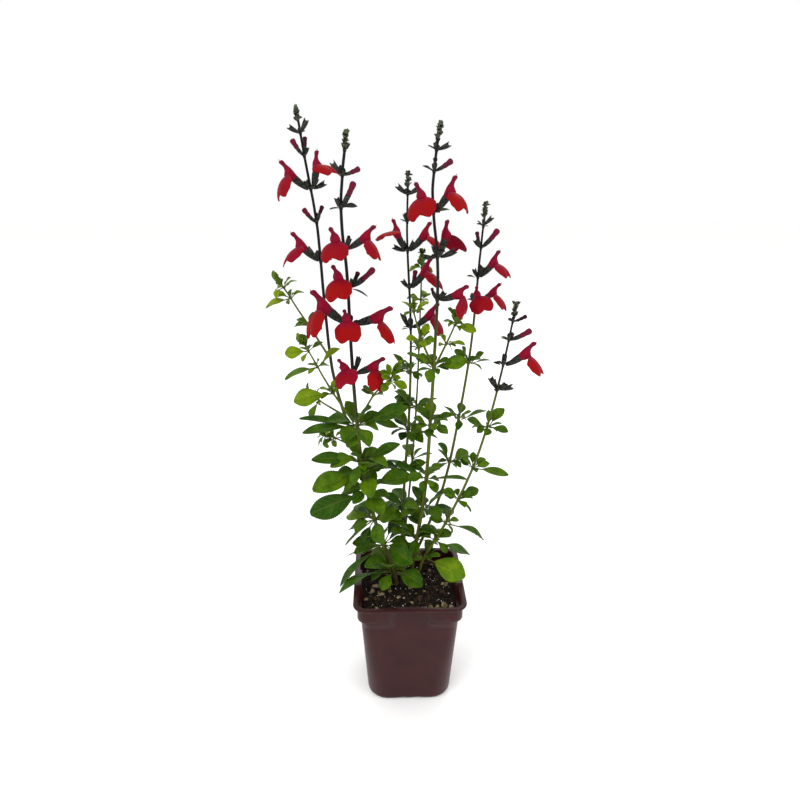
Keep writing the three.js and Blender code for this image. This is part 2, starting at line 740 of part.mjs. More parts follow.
for (const row of STEMS) {
  const stem = { ...row, curve: route(row.points) };
  rods.push(stem);
  plant.add(show(`stem_${stem.name}`, growing(stem), STEM_SKIN));
  stem.leaves.forEach(([height, pieces], i) => {
    joint(stem, `leaves_${stem.name}_${letter(i)}`, height, pieces, LEAF_SKIN);
  });
  stem.flowers.forEach(([height, pieces], i) => {
    joint(stem, `flowers_${stem.name}_${letter(i)}`, height, pieces, PETAL);
  });
  for (const shoot of stem.shoots) {
    const t = shareAt(stem.curve, shoot.from);
    const foot = stem.curve.getPointAt(t);
    const aside = new THREE.Vector3(...shoot.points[0]).sub(foot).setZ(0).normalize();
    foot.addScaledVector(aside, radiusAt(stem, t) + SHOOT_THICK / 2 + CLEARANCE * 2);
    const curve = route([foot.toArray(), ...shoot.points]);
    const branch = { ...shoot, curve, thick: SHOOT_THICK, thin: SHOOT_THIN };
    plant.add(show(`shoot_${stem.name}_${shoot.name}`, growing(branch), LEAF_SKIN));
  }
}

// ---- Soil --------------------------------------------------------------------------------

/** Potting mix that fills the pot to below the rim, with a snug hole for every stem. */
function soil() {
  const half = (height) => bodyHalf(height) - WALL - CLEARANCE;
  const bottom = FLOOR + CLEARANCE;
  let block = solidOf(
    squareLoft([
      [bottom, half(0) - FOOT_ROUND / 2, bodyRound(0)],
      [bottom + FOOT_ROUND, half(bottom + FOOT_ROUND), bodyRound(bottom + FOOT_ROUND)],
      [SOIL_LEVEL - SOIL_MOUND, half(SOIL_LEVEL), bodyRound(SOIL_LEVEL)],
      [SOIL_LEVEL, half(SOIL_LEVEL) * MOUND_TOP, bodyRound(SOIL_LEVEL)],
    ]),
  );
  for (const stem of rods) {
    const hole = rod(stem, CLEARANCE * Math.SQRT2).translate(0, 0, SOIL_LEVEL);
    block = block.subtract(solidOf(hole));
  }
  return block;
}

const sage = new THREE.Group();
sage.name = 'potted_autumn_sage';
sage.add(show('pot', geometryOf(pot()), POT_PLASTIC));
sage.add(show('soil', geometryOf(soil()), SOIL_MIX));
sage.add(plant);

export default sage;
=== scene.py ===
import math
import random

import bmesh
import bpy
from mathutils import Matrix, Vector, noise


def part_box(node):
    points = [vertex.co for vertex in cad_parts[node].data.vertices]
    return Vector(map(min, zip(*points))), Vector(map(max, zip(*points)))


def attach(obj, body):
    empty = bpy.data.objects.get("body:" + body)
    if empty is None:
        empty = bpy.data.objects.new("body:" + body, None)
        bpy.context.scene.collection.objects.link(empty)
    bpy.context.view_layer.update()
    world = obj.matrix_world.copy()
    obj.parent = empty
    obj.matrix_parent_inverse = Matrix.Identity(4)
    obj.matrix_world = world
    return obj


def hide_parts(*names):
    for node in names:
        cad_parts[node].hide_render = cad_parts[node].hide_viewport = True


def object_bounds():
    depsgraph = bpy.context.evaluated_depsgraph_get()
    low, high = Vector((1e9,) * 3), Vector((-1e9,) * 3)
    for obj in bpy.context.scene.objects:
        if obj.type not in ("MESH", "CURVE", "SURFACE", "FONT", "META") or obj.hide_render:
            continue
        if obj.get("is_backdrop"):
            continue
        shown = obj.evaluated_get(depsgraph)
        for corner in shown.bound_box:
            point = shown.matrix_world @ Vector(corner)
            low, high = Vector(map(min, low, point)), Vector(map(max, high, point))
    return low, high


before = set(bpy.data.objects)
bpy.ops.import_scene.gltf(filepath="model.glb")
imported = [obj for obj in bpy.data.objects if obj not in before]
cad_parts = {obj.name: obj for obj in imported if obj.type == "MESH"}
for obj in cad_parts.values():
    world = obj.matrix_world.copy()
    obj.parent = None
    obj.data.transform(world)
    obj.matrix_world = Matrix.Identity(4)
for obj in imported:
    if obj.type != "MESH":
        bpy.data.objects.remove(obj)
cad_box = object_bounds()

# ---- Studio ------------------------------------------------------------------------------
# A seamless pale floor, one broad soft light high on the left, a weaker one on the right and a
# long one behind, as for a nursery's catalogue. The camera stands in front and looks down a little.

MM = 0.001


def colour(hex_text):
    """An sRGB hex value as linear red, green, blue and alpha."""
    channels = [int(hex_text[i : i + 2], 16) / 255 for i in (1, 3, 5)]
    linear = [c / 12.92 if c <= 0.04045 else ((c + 0.055) / 1.055) ** 2.4 for c in channels]
    return (*linear, 1)


def node(material, kind, attributes, sockets):
    """Adds one shader node with its settings. A socket given another socket is linked to it, and a
    colour ramp's stops are (position, hex) pairs, its two ends first."""
    made = material.node_tree.nodes.new("ShaderNode" + kind)
    for name, value in attributes.items():
        if name != "stops":
            setattr(made, name, value)
    for index, (position, hex_text) in enumerate(attributes.get("stops", ())):
        elements = made.color_ramp.elements
        stop = elements[index] if index < 2 else elements.new(position)
        stop.position = position
        stop.color = colour(hex_text)
    for name, value in sockets.items():
        if isinstance(value, bpy.types.NodeSocket):
            material.node_tree.links.new(value, made.inputs[name])
        else:
            made.inputs[name].default_value = value
    return made


def new_material(name):
    """An empty material with only its output, and the output's surface socket."""
    material = bpy.data.materials.new(name)
    material.use_nodes = True
    material.node_tree.nodes.clear()
    output = node(material, "OutputMaterial", {}, {})
    return material, output.inputs["Surface"]


def show(bm, name, materials, smooth=True):
    """Turns a bmesh into a finished object at the origin."""
    mesh = bpy.data.meshes.new(name)
    bm.to_mesh(mesh)
    bm.free()
    for material in materials:
        mesh.materials.append(material)
    mesh.polygons.foreach_set("use_smooth", [smooth] * len(mesh.polygons))
    piece = bpy.data.objects.new(name, mesh)
    bpy.context.scene.collection.objects.link(piece)
    return piece


paper, surface = new_material("pale_studio_paper")
grain = node(paper, "TexNoise", {}, {"Scale": 900.0, "Detail": 2.0})
stops = ((0, "#fdfdfc"), (1, "#ffffff"))
tone = node(paper, "ValToRGB", {"stops": stops}, {"Fac": grain.outputs["Fac"]})
matt = node(paper, "BsdfPrincipled", {}, {"Base Color": tone.outputs["Color"], "Roughness": 0.9})
paper.node_tree.links.new(matt.outputs["BSDF"], surface)

floor_mesh = bmesh.new()
bmesh.ops.create_grid(floor_mesh, x_segments=1, y_segments=1, size=4.0)
floor = show(floor_mesh, "studio_floor", [paper])
floor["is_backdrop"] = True

world = bpy.data.worlds.new("studio")
world.use_nodes = True
world.node_tree.nodes["Background"].inputs["Color"].default_value = colour("#ffffff")
world.node_tree.nodes["Background"].inputs["Strength"].default_value = 1.0
bpy.context.scene.world = world
bpy.context.scene.view_settings.view_transform = "Standard"


def soft_light(name, place, target, size, power):
    """A square area light that faces a target."""
    lamp = bpy.data.lights.new(name, "AREA")
    lamp.size = size
    lamp.energy = power
    light = bpy.data.objects.new(name, lamp)
    light.location = place
    light.rotation_euler = (Vector(target) - Vector(place)).to_track_quat("-Z", "Y").to_euler()
    bpy.context.scene.collection.objects.link(light)


MIDDLE = (cad_box[0] + cad_box[1]) / 2
soft_light("key", (-0.7, -0.9, 1.3), MIDDLE, 0.9, 9)
soft_light("fill", (1.0, -0.7, 0.7), MIDDLE, 0.9, 4)
soft_light("back", (0.2, 1.1, 1.0), MIDDLE, 1.0, 5)

POT_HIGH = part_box("pot")[1]
CAMERA_BACK = 477 * MM  # from the pot's middle
CAMERA_HIGH = 425 * MM
CAMERA_LEFT = 20 * MM
LOOK_DOWN = math.radians(20.05)
LOOK_RIGHT = math.radians(1.57)

lens = bpy.data.cameras.new("camera")
lens.sensor_width = 36
lens.lens = 30.6
camera = bpy.data.objects.new("camera", lens)
camera.location = (-CAMERA_LEFT, -CAMERA_BACK, CAMERA_HIGH)
camera.rotation_euler = (math.pi / 2 - LOOK_DOWN, 0, -LOOK_RIGHT)
bpy.context.scene.collection.objects.link(camera)
bpy.context.scene.camera = camera

# ---- Pot ---------------------------------------------------------------------------------
# A square nursery pot, injection moulded in dark red-brown polypropylene. The wall is one skin,
# pushed out into a collar at each corner and rolled over into a lip. Drain arches cut its foot.

WALL = 1.4 * MM
FLOOR = 1.8 * MM
LIP_REACH = 3.2 * MM
COLLAR_STEP = 1.8 * MM
COLLAR_HEIGHT = 14 * MM
TONGUE_HALF = 15.5 * MM  # half of the flush band, at the collar's foot
TONGUE_FLARE = 4 * MM
TOP_CORNER = 6 * MM
COLLAR_CORNER = TOP_CORNER + COLLAR_STEP
BASE_CORNER = 17 * MM
BASE_HALF = 34 * MM
FOOT_ROUND = 4 * MM
SIDE_KNOTS = (4, 1, 6, 1, 4)  # steps from corner to collar edge, across its ramp, over the band
CORNER_STEPS = 10
RAMP = 0.9 * MM  # width of the collar's end ramp
FOOT_DRAW = 0.6  # how far the foot's rounding draws in, as a share of its height
OUTER_COLLAR = ((0.15, 0.5), (0.5, 0.9), (1.1, 1), (5, 1), (9, 1))  # [mm above its foot, share]
INNER_COLLAR = ((9, 1), (4, 1), (2.4, 1), (1.9, 0.8), (1.6, 0.2))

pot_height = POT_HIGH.z
lip_half = POT_HIGH.x
collar_half = lip_half - LIP_REACH
shoulder_half = collar_half - COLLAR_STEP
collar_foot = pot_height - COLLAR_HEIGHT


def body_half(height):
    """Half the body's width: it widens evenly from the base to the shoulder."""
    return BASE_HALF + (shoulder_half - BASE_HALF) * height / pot_height


def body_corner(height):
    """The corner radius: broad at the base and tight at the rim."""
    return BASE_CORNER + (TOP_CORNER - BASE_CORNER) * min(1, height / pot_height)


def pot_outline(height, corner_half, band_half, radius):
    """One level of the pot's wall as a closed line of points."""
    rise = min(1, max(0, (height - collar_foot) / COLLAR_HEIGHT))
    band = TONGUE_HALF - TONGUE_FLARE * rise
    straight = corner_half - radius
    knots = (-straight, -band - RAMP, -band, band, band + RAMP, straight)
    points = []
    for side in range(4):
        turn = Matrix.Rotation(side * math.pi / 2, 3, "Z")
        for start, end, steps in zip(knots, knots[1:], SIDE_KNOTS):
            for step in range(steps):
                across = start + (end - start) * step / steps
                out = min(1, max(0, (abs(across) - band) / RAMP))
                reach = band_half + (corner_half - band_half) * out
                points.append(turn @ Vector((across, -reach, height)))
        for step in range(CORNER_STEPS):
            angle = -math.pi / 2 + math.pi / 2 * step / CORNER_STEPS
            corner_x = straight + radius * math.cos(angle)
            corner_y = -straight + radius * math.sin(angle)
            points.append(turn @ Vector((corner_x, corner_y, height)))
    return points


def body_level(height, inset=0.0):
    half = body_half(height) - inset
    return (height, half, half, max(2 * MM, body_corner(height) - inset))


def collar_level(height, inset, share):
    """A level at which the corner collars stand out by a share of their step."""
    band = body_half(height) - inset
    corner = band + (collar_half - inset - band) * share
    return (height, corner, band, TOP_CORNER + COLLAR_STEP * share - inset)


def lip_level(height, half):
    return (height, half, half, COLLAR_CORNER + half - collar_half)


levels = [(0, BASE_HALF - 5 * MM, BASE_HALF - 5 * MM, BASE_CORNER - 5 * MM)]
for step in range(6):
    angle = math.pi / 2 * step / 5
    height = FOOT_ROUND * (1 - math.cos(angle))
    drawn_in = FOOT_ROUND * FOOT_DRAW * (1 - math.sin(angle))
    half = body_half(height) - drawn_in
    levels.append((height, half, half, body_corner(height) - drawn_in))
levels += [body_level(FOOT_ROUND + (collar_foot - FOOT_ROUND) * step / 9) for step in range(1, 10)]
levels += [collar_level(collar_foot + rise * MM, 0, share) for rise, share in OUTER_COLLAR]
levels.append(collar_level(pot_height - 3.6 * MM, 0, 1))
levels += [
    (pot_height - 3.0 * MM, collar_half + 0.25 * MM, shoulder_half + 0.7 * MM, COLLAR_CORNER),
    (pot_height - 2.4 * MM, collar_half + 0.9 * MM, shoulder_half + 2.0 * MM, COLLAR_CORNER),
    (pot_height - 1.9 * MM, collar_half + 1.9 * MM, collar_half + 1.4 * MM, COLLAR_CORNER + 1 * MM),
]
for drop, inward in ((1.7, 0.5), (1.4, 0.12), (1.0, 0), (0.6, 0.1), (0.25, 0.4), (0.05, 0.9), (0, 1.5)):
    levels.append(lip_level(pot_height - drop * MM, lip_half - inward * MM))
for drop, share in ((0.05, 0.35), (0.3, 0.12), (0.8, 0)):
    corner = collar_half - WALL + 1.6 * MM * share
    band = shoulder_half - WALL + 2.2 * MM * share
    levels.append((pot_height - drop * MM, corner, band, COLLAR_CORNER - WALL))
levels += [collar_level(collar_foot + rise * MM, WALL, share) for rise, share in INNER_COLLAR]
for step in range(8):
    levels.append(body_level(collar_foot * (1 - step / 7) + (FLOOR + 3 * MM) * step / 7, WALL))
levels.append(body_level(FLOOR + 1 * MM, WALL + 1 * MM))
levels.append(body_level(FLOOR, WALL + 3 * MM))


def extrude_outline(bm, edges, points):
    """Extrudes a closed line of edges once and puts its copies on the next outline."""
    grown = bmesh.ops.extrude_edge_only(bm, edges=edges)["geom"]
    for vertex in grown:
        if isinstance(vertex, bmesh.types.BMVert):
            vertex.co = points[vertex[bm.verts.layers.int["station"]]]
    return [edge for edge in grown if isinstance(edge, bmesh.types.BMEdge)]


pot_mesh = bmesh.new()
station = pot_mesh.verts.layers.int.new("station")
outlines = [pot_outline(*level) for level in levels]
ring = bmesh.ops.create_circle(pot_mesh, segments=len(outlines[0]), radius=1)["verts"]
for index, vertex in enumerate(ring):
    vertex[station] = index
    vertex.co = outlines[0][index]
rim = list(pot_mesh.edges)
bmesh.ops.contextual_create(pot_mesh, geom=rim)
for outline in outlines[1:]:
    rim = extrude_outline(pot_mesh, rim, outline)
bmesh.ops.contextual_create(pot_mesh, geom=rim)
bmesh.ops.recalc_face_normals(pot_mesh, faces=pot_mesh.faces)

DRAIN_ARCH = 5.5 * MM
DRAIN_RISE = 2.2 * MM
DRAIN_SPACING = 12 * MM
DRAIN_DEPTH = 7 * MM

arches = bmesh.new()
for side in range(4):
    for offset in (-DRAIN_SPACING / 2, DRAIN_SPACING / 2):
        arch = bmesh.ops.create_cone(
            arches,
            cap_ends=True,
            segments=32,
            radius1=DRAIN_ARCH,
            radius2=DRAIN_ARCH,
            depth=DRAIN_DEPTH * 2,
        )["verts"]
        squeeze = Matrix.Scale(DRAIN_RISE / DRAIN_ARCH, 4, (0, 0, 1))
        squeeze = squeeze @ Matrix.Rotation(math.pi / 2, 4, "X")
        shift = Matrix.Rotation(side * math.pi / 2, 4, "Z") @ Matrix.Translation((offset, -BASE_HALF, 0))
        bmesh.ops.transform(arches, matrix=shift @ squeeze, verts=arch)
cutters = show(arches, "drain_cutters", [])

plastic, surface = new_material("moulded_polypropylene")
# Recycled red-brown polypropylene: satin, faintly mottled, with a fine moulded grain of 0.3 mm and
# the odd scuff, so that its highlights break up softly.
place = node(plastic, "TexCoord", {}, {}).outputs["Object"]
mottle = node(plastic, "TexNoise", {}, {"Vector": place, "Scale": 60.0, "Detail": 6.0, "Roughness": 0.6})
stops = ((0.3, "#2c0f11"), (0.72, "#381416"))
body_tone = node(plastic, "ValToRGB", {"stops": stops}, {"Fac": mottle.outputs["Fac"]})
scuff = node(plastic, "TexNoise", {}, {"Vector": place, "Scale": 220.0, "Detail": 3.0})
shine = node(plastic, "MapRange", {}, {"Value": scuff.outputs["Fac"], "To Min": 0.3, "To Max": 0.44})
grit = node(plastic, "TexNoise", {}, {"Vector": place, "Scale": 3300.0, "Detail": 1.0})
relief = node(plastic, "Bump", {}, {"Height": grit.outputs["Fac"], "Strength": 0.08, "Distance": 0.0002})
skin = node(
    plastic,
    "BsdfPrincipled",
    {},
    {
        "Base Color": body_tone.outputs["Color"],
        "Roughness": shine.outputs["Result"],
        "Normal": relief.outputs["Normal"],
        "IOR": 1.49,
        "Specular IOR Level": 0.2,
    },
)
plastic.node_tree.links.new(skin.outputs["BSDF"], surface)

pot = show(pot_mesh, "nursery_pot", [plastic])
drain = pot.modifiers.new("drain", "BOOLEAN")
drain.object = cutters
drain.operation = "DIFFERENCE"
drain.solver = "EXACT"
drained = bpy.data.meshes.new_from_object(pot.evaluated_get(bpy.context.evaluated_depsgraph_get()))
pot.modifiers.remove(drain)
pot.data = drained
bpy.data.objects.remove(cutters)
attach(pot, "root")
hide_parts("pot")

# ---- Soil --------------------------------------------------------------------------------
# Peat and bark potting mix, watered down to a dark, crumbly surface. The block fills the pot, and
# loose crumbs, white perlite, tan grit stones and bark chips lie on top of it.

SOIL_LOW, SOIL_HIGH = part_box("soil")
CRUMB_RELIEF = 1.6 * MM
SOIL_GAP = 0.2 * MM
SOIL_GRID = 110
random.seed(11)

soil_level = SOIL_HIGH.z
soil_half = body_half(soil_level) - WALL - SOIL_GAP


def soil_height(x, y):
    """The height of the soil: a low mound with clods of about 8 mm and crumbs of about 2 mm."""
    mound = 1 - max(abs(x), abs(y)) / soil_half
    clods = noise.noise(Vector((x, y, 0)) / (8 * MM))
    crumbs = noise.noise(Vector((x, y, 4 * MM)) / (2.2 * MM))
    return soil_level + (1.2 * mound - 2.2) * MM + CRUMB_RELIEF * (0.6 * clods + 0.4 * crumbs)


def in_corner_round(x, y, half, radius):
    """Moves a point of a square in to the rounded square of the same size."""
    grown = Vector((abs(x), abs(y))) - Vector((half - radius, half - radius))
    if min(grown) <= 0:
        return x, y
    longest = max(grown)
    scale = longest / grown.length
    inner = half - radius
    return math.copysign(inner + grown.x * scale, x), math.copysign(inner + grown.y * scale, y)


soil_mesh = bmesh.new()
bmesh.ops.create_grid(soil_mesh, x_segments=SOIL_GRID, y_segments=SOIL_GRID, size=soil_half)
top_edges = [edge for edge in soil_mesh.edges if edge.is_boundary]
for vertex in soil_mesh.verts:
    x, y = in_corner_round(vertex.co.x, vertex.co.y, soil_half, TOP_CORNER)
    vertex.co = (x, y, soil_height(x, y))
side_edges = bmesh.ops.extrude_edge_only(soil_mesh, edges=top_edges)["geom"]
foot_scale = (BASE_HALF - WALL - SOIL_GAP - 2 * MM) / soil_half
for vertex in side_edges:
    if isinstance(vertex, bmesh.types.BMVert):
        vertex.co = (vertex.co.x * foot_scale, vertex.co.y * foot_scale, SOIL_LOW.z)
foot_edges = [edge for edge in side_edges if isinstance(edge, bmesh.types.BMEdge)]
bmesh.ops.contextual_create(soil_mesh, geom=foot_edges)
bmesh.ops.recalc_face_normals(soil_mesh, faces=soil_mesh.faces)

peat, surface = new_material("damp_peat_mix")
# Damp peat: near black with warm brown fibres a fraction of a millimetre wide, and dull, with
# wet glints between the crumbs.
place = node(peat, "TexCoord", {}, {}).outputs["Object"]
fibre = node(peat, "TexNoise", {}, {"Vector": place, "Scale": 900.0, "Detail": 6.0, "Roughness": 0.7})
stops = ((0.35, "#0b0a09"), (0.75, "#261e17"))
peat_tone = node(peat, "ValToRGB", {"stops": stops}, {"Fac": fibre.outputs["Fac"]})
clump = node(peat, "TexVoronoi", {}, {"Vector": place, "Scale": 700.0})
damp = node(peat, "MapRange", {}, {"Value": fibre.outputs["Fac"], "To Min": 0.55, "To Max": 1.0})
crumbly = node(peat, "Bump", {}, {"Height": clump.outputs["Distance"], "Strength": 0.6, "Distance": 0.0006})
peat_skin = node(
    peat,
    "BsdfPrincipled",
    {},
    {
        "Base Color": peat_tone.outputs["Color"],
        "Roughness": damp.outputs["Result"],
        "Normal": crumbly.outputs["Normal"],
        "Specular IOR Level": 0.1,
    },
)
peat.node_tree.links.new(peat_skin.outputs["BSDF"], surface)
soil = show(soil_mesh, "potting_mix", [peat])
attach(soil, "root")
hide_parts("soil")


def mineral(name, dark, light, roughness, scale):
    """A dull mineral or bark finish that varies between two tones from grain to grain."""
    material, output = new_material(name)
    where = node(material, "TexCoord", {}, {}).outputs["Object"]
    patch = node(material, "TexNoise", {}, {"Vector": where, "Scale": scale, "Detail": 4.0})
    stops = ((0.35, dark), (0.65, light))
    ramp = node(material, "ValToRGB", {"stops": stops}, {"Fac": patch.outputs["Fac"]})
    pits = node(material, "TexNoise", {}, {"Vector": where, "Scale": 4000.0})
    rough = node(material, "Bump", {}, {"Height": pits.outputs["Fac"], "Strength": 0.5, "Distance": 0.0003})
    shader = node(
        material,
        "BsdfPrincipled",
        {},
        {
            "Base Color": ramp.outputs["Color"],
            "Roughness": roughness,
            "Specular IOR Level": 0.1,
            "Normal": rough.outputs["Normal"],
        },
    )
    material.node_tree.links.new(shader.outputs["BSDF"], output)
    return material


def scatter(name, material, count, sizes, flatness, sink):
    """Lays irregular grains over the soil: each a rounded lump, squashed and turned at random."""
    bm = bmesh.new()
    for _ in range(count):
        reach = soil_half - 2.5 * MM
        x, y = random.uniform(-reach, reach), random.uniform(-reach, reach)
        x, y = in_corner_round(x, y, reach, TOP_CORNER)
        size = random.uniform(*sizes) * MM / 2
        detail = 1 if size < 1.2 * MM else 2
        lump = bmesh.ops.create_icosphere(bm, subdivisions=detail, radius=size)["verts"]
        shift = Vector((random.random(), random.random(), random.random())) * 50
        for vertex in lump:
            vertex.co *= 1 + 0.35 * noise.noise(vertex.co / size * 1.3 + shift)
        stretch = (random.uniform(0.7, 1.3), random.uniform(0.6, 1.1), random.uniform(*flatness), 1)
        turn = Matrix.Rotation(random.uniform(0, math.tau), 4, "Z")
        turn = turn @ Matrix.Rotation(random.gauss(0, 0.3), 4, "X")
        lift = soil_height(x, y) + size * (stretch[2] - sink)
        settled = Matrix.Translation((x, y, lift)) @ turn @ Matrix.Diagonal(stretch)
        bmesh.ops.transform(bm, matrix=settled, verts=lump)
    grains = show(bm, name, [material], smooth=False)
    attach(grains, "root")


crumb = mineral("peat_crumb", "#0e0c0a", "#2e241b", 0.9, 300.0)
scatter("peat_crumbs", crumb, 1500, (0.8, 3.0), (0.6, 1.0), 0.5)
perlite = mineral("perlite", "#a9a79f", "#efeee8", 0.85, 500.0)
scatter("perlite_grains", perlite, 230, (0.4, 1.4), (0.7, 1.0), 0.3)
grit_stone = mineral("tan_grit", "#4a3f2a", "#9a8b66", 0.7, 260.0)
scatter("grit_stones", grit_stone, 44, (2.2, 5.6), (0.6, 0.9), 0.35)
pine_bark = mineral("pine_bark", "#20150d", "#4a3220", 0.85, 350.0)
scatter("bark_chips", pine_bark, 80, (2.0, 6.0), (0.2, 0.4), 0.2)

# ---- Stems -------------------------------------------------------------------------------
# Seven square stems and their side shoots. They are woody and grey-brown at the crown, green and
# faintly grooved above, and nearly black-purple among the flowers. Joints are a little swollen.

STEP = 2.5 * MM  # between the points of a stem's line
TIP_STEPS = 2  # of a stem's line that lie in its growing tip
FLAT_RUN = 3  # flat cuts in a row that mean the line has run on into a leaf
NEAR_LINE = 2.1 * MM  # how far from its line a rod's own skin can lie
CORNER_FLAT = 0.8  # a square stem's flats, as a share of its corners


def merged(name):
    """A copy of a CAD node's mesh with its loose triangles joined."""
    bm = bmesh.new()
    bm.from_mesh(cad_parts[name].data)
    bmesh.ops.remove_doubles(bm, verts=bm.verts, dist=2e-6)
    bm.verts.ensure_lookup_table()
    return bm


def is_flat(cuts):
    """Whether the cuts across a piece lie in a thin strip, as a leaf's do."""
    first, last = max(((a, b) for a in cuts for b in cuts), key=lambda pair: (pair[0] - pair[1]).length)
    across = (last - first).normalized()
    aside = [(cut - first) - across * (cut - first).dot(across) for cut in cuts]
    return max(offset.length for offset in aside) < 0.8 * MM and (last - first).length > 2 * MM


def follow(bm, start, heading):
    """The middle line of a rod: plane after plane across it, each at the middle of its cuts."""
    line = [start]
    flat = 0
    while len(line) < 200:
        guess = line[-1] + heading * STEP
        cuts = []
        for edge in bm.edges:
            low, high = (vertex.co for vertex in edge.verts)
            below, above = (low - guess).dot(heading), (high - guess).dot(heading)
            if below * above < 0:
                cut = low.lerp(high, below / (below - above))
                if (cut - guess).length < NEAR_LINE:
                    cuts.append(cut)
        if len(cuts) < 4:
            break
        flat = flat + 1 if is_flat(cuts) else 0
        if flat == FLAT_RUN:
            line = line[: 1 - FLAT_RUN]
            break
        middle = sum(cuts, Vector()) / len(cuts)
        heading = (heading * 2 + (middle - line[-1]).normalized()).normalized()
        line.append(middle)
    for _ in range(4):
        inner = [(a + b * 2 + c) / 4 for a, b, c in zip(line, line[1:], line[2:])]
        line = [line[0], *inner, line[-1]]
    return line


def nearest(line, point):
    """The nearest place on a line to a point: the place, its share of the line and its distance."""
    best = None
    for index, (low, high) in enumerate(zip(line, line[1:])):
        along = high - low
        share = min(1, max(0, (point - low).dot(along) / along.length_squared))
        place = low + along * share
        distance = (point - place).length
        if best is None or distance < best[2]:
            best = (place, (index + share) / (len(line) - 1), distance)
    return best


stems = {}
for name in sorted(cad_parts):
    if name.startswith("stem_"):
        bm = merged(name)
        lowest = min(vertex.co.z for vertex in bm.verts)
        foot = [vertex.co.copy() for vertex in bm.verts if vertex.co.z < lowest + 0.6 * MM]
        start = sum(foot, Vector()) / len(foot)
        stems[name] = {"line": follow(bm, start, Vector((0, 0, 1)))[:-TIP_STEPS]}
        stems[name]["thick"] = max((point - start).length for point in foot)
        bm.free()
for name in sorted(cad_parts):
    if name.startswith("shoot_"):
        bm = merged(name)
        parent = stems["stem_" + name.split("_")[1]]["line"]
        first = min((vertex.co.copy() for vertex in bm.verts), key=lambda co: nearest(parent, co)[2])
        foot = [vertex.co.copy() for vertex in bm.verts if (vertex.co - first).length < 1.6 * MM]
        start = sum(foot, Vector()) / len(foot)
        out = (start - nearest(parent, start)[0]).normalized() + Vector((0, 0, 1))
        stems[name] = {"line": follow(bm, start, out.normalized()), "thick": 0.75 * MM}
        bm.free()


def rod_radius(stem, share):
    """A rod's radius, to its corners: its tip is about half as thick as its foot."""
    return stem["thick"] * (1 - 0.48 * share)


STOUT = 1.24  # full-grown stems against the frame's


def turned_frames(points, reference=Vector((1, 0, 0))):
    """A frame at each point of a line: Z runs along it, and X stays as near the reference as it can."""
    frames = []
    for index, point in enumerate(points):
        ahead = points[min(index + 1, len(points) - 1)] - points[max(index - 1, 0)]
        along = ahead.normalized()
        right = (reference - along * reference.dot(along)).normalized()
        turn = Matrix((right, along.cross(right), along)).transposed()
        frames.append(Matrix.Translation(point) @ turn.to_4x4())
    return frames


def tube(bm, points, radii, sides, flats=1.0, reference=Vector((1, 0, 0)), marks=()):
    """A closed rod along a line. marks are (layer, value at each point) pairs."""
    frames = [
        frame_here @ Matrix.Diagonal((radius, radius, radius, 1))
        for frame_here, radius in zip(turned_frames(points, reference), radii)
    ]
    first = bmesh.ops.create_circle(bm, cap_ends=True, segments=sides, radius=1, matrix=frames[0])["verts"]
    for index, vertex in enumerate(first):
        if index % 2:
            vertex.co = points[0].lerp(vertex.co, flats)
    for layer, values in marks:
        for vertex in first:
            vertex[layer] = values[0]
    edges = [edge for edge in bm.edges if edge.verts[0] in first and edge.verts[1] in first]
    made = list(first)
    for index in range(1, len(frames)):
        grown = bmesh.ops.extrude_edge_only(bm, edges=edges)["geom"]
        ring = [item for item in grown if isinstance(item, bmesh.types.BMVert)]
        edges = [item for item in grown if isinstance(item, bmesh.types.BMEdge)]
        bmesh.ops.transform(bm, matrix=frames[index] @ frames[index - 1].inverted(), verts=ring)
        for layer, values in marks:
            for vertex in ring:
                vertex[layer] = values[index]
        made += ring
    bmesh.ops.contextual_create(bm, geom=edges)
    return made


bark, surface = new_material("sage_stem_skin")
# Young square stems: waxy green with fine lengthways ribs about 0.2 mm apart, grey-brown and dull
# where they have turned woody, and a deep purple bloom where they flower.
place = node(bark, "TexCoord", {}, {}).outputs["Object"]
ripeness = node(bark, "Attribute", {"attribute_name": "tone"}, {})
stretch = node(bark, "Mapping", {"vector_type": "TEXTURE"}, {"Vector": place, "Scale": (1, 1, 12)})
streak = node(bark, "TexNoise", {}, {"Vector": stretch.outputs["Vector"], "Scale": 1500.0, "Detail": 3.0})
jitter = node(bark, "Math", {"operation": "MULTIPLY_ADD"}, {0: streak.outputs["Fac"], 1: 0.16, 2: -0.08})
mixed = node(bark, "Math", {"operation": "ADD"}, {0: jitter.outputs[0], 1: ripeness.outputs["Fac"]})
stops = (
    (0.02, "#54462f"),
    (0.98, "#140b10"),
    (0.22, "#54551c"),
    (0.45, "#535e18"),
    (0.66, "#36371c"),
    (0.82, "#1f1418"),
)
stem_tone = node(bark, "ValToRGB", {"stops": stops}, {"Fac": mixed.outputs[0]})
ribs = node(bark, "Bump", {}, {"Height": streak.outputs["Fac"], "Strength": 0.35, "Distance": 0.0003})
stem_skin = node(
    bark,
    "BsdfPrincipled",
    {},
    {
        "Base Color": stem_tone.outputs["Color"],
        "Roughness": 0.5,
        "Specular IOR Level": 0.15,
        "Normal": ribs.outputs["Normal"],
    },
)
bark.node_tree.links.new(stem_skin.outputs["BSDF"], surface)


# Where each stem turns purple, as a share of its length. The young fourth stem never does.
FLOWERING = {"stem_4": 1.1, "stem_7": 0.86, "stem_6": 0.84, "stem_5": 0.74, "stem_3": 0.7}


def ripeness_at(name, share):
    """From 0, woody, through 0.5, green, to 1, the purple of a flowering top."""
    if name.startswith("shoot_"):
        return 0.42 + 0.1 * share
    flowering = FLOWERING.get(name, 0.6)
    woody = min(1, share / 0.16) * 0.3
    green = min(1, max(0, (share - 0.12) / 0.2)) * 0.18
    purple = min(1, max(0, (share - flowering + 0.16) / 0.22)) * 0.5
    return woody + green + purple


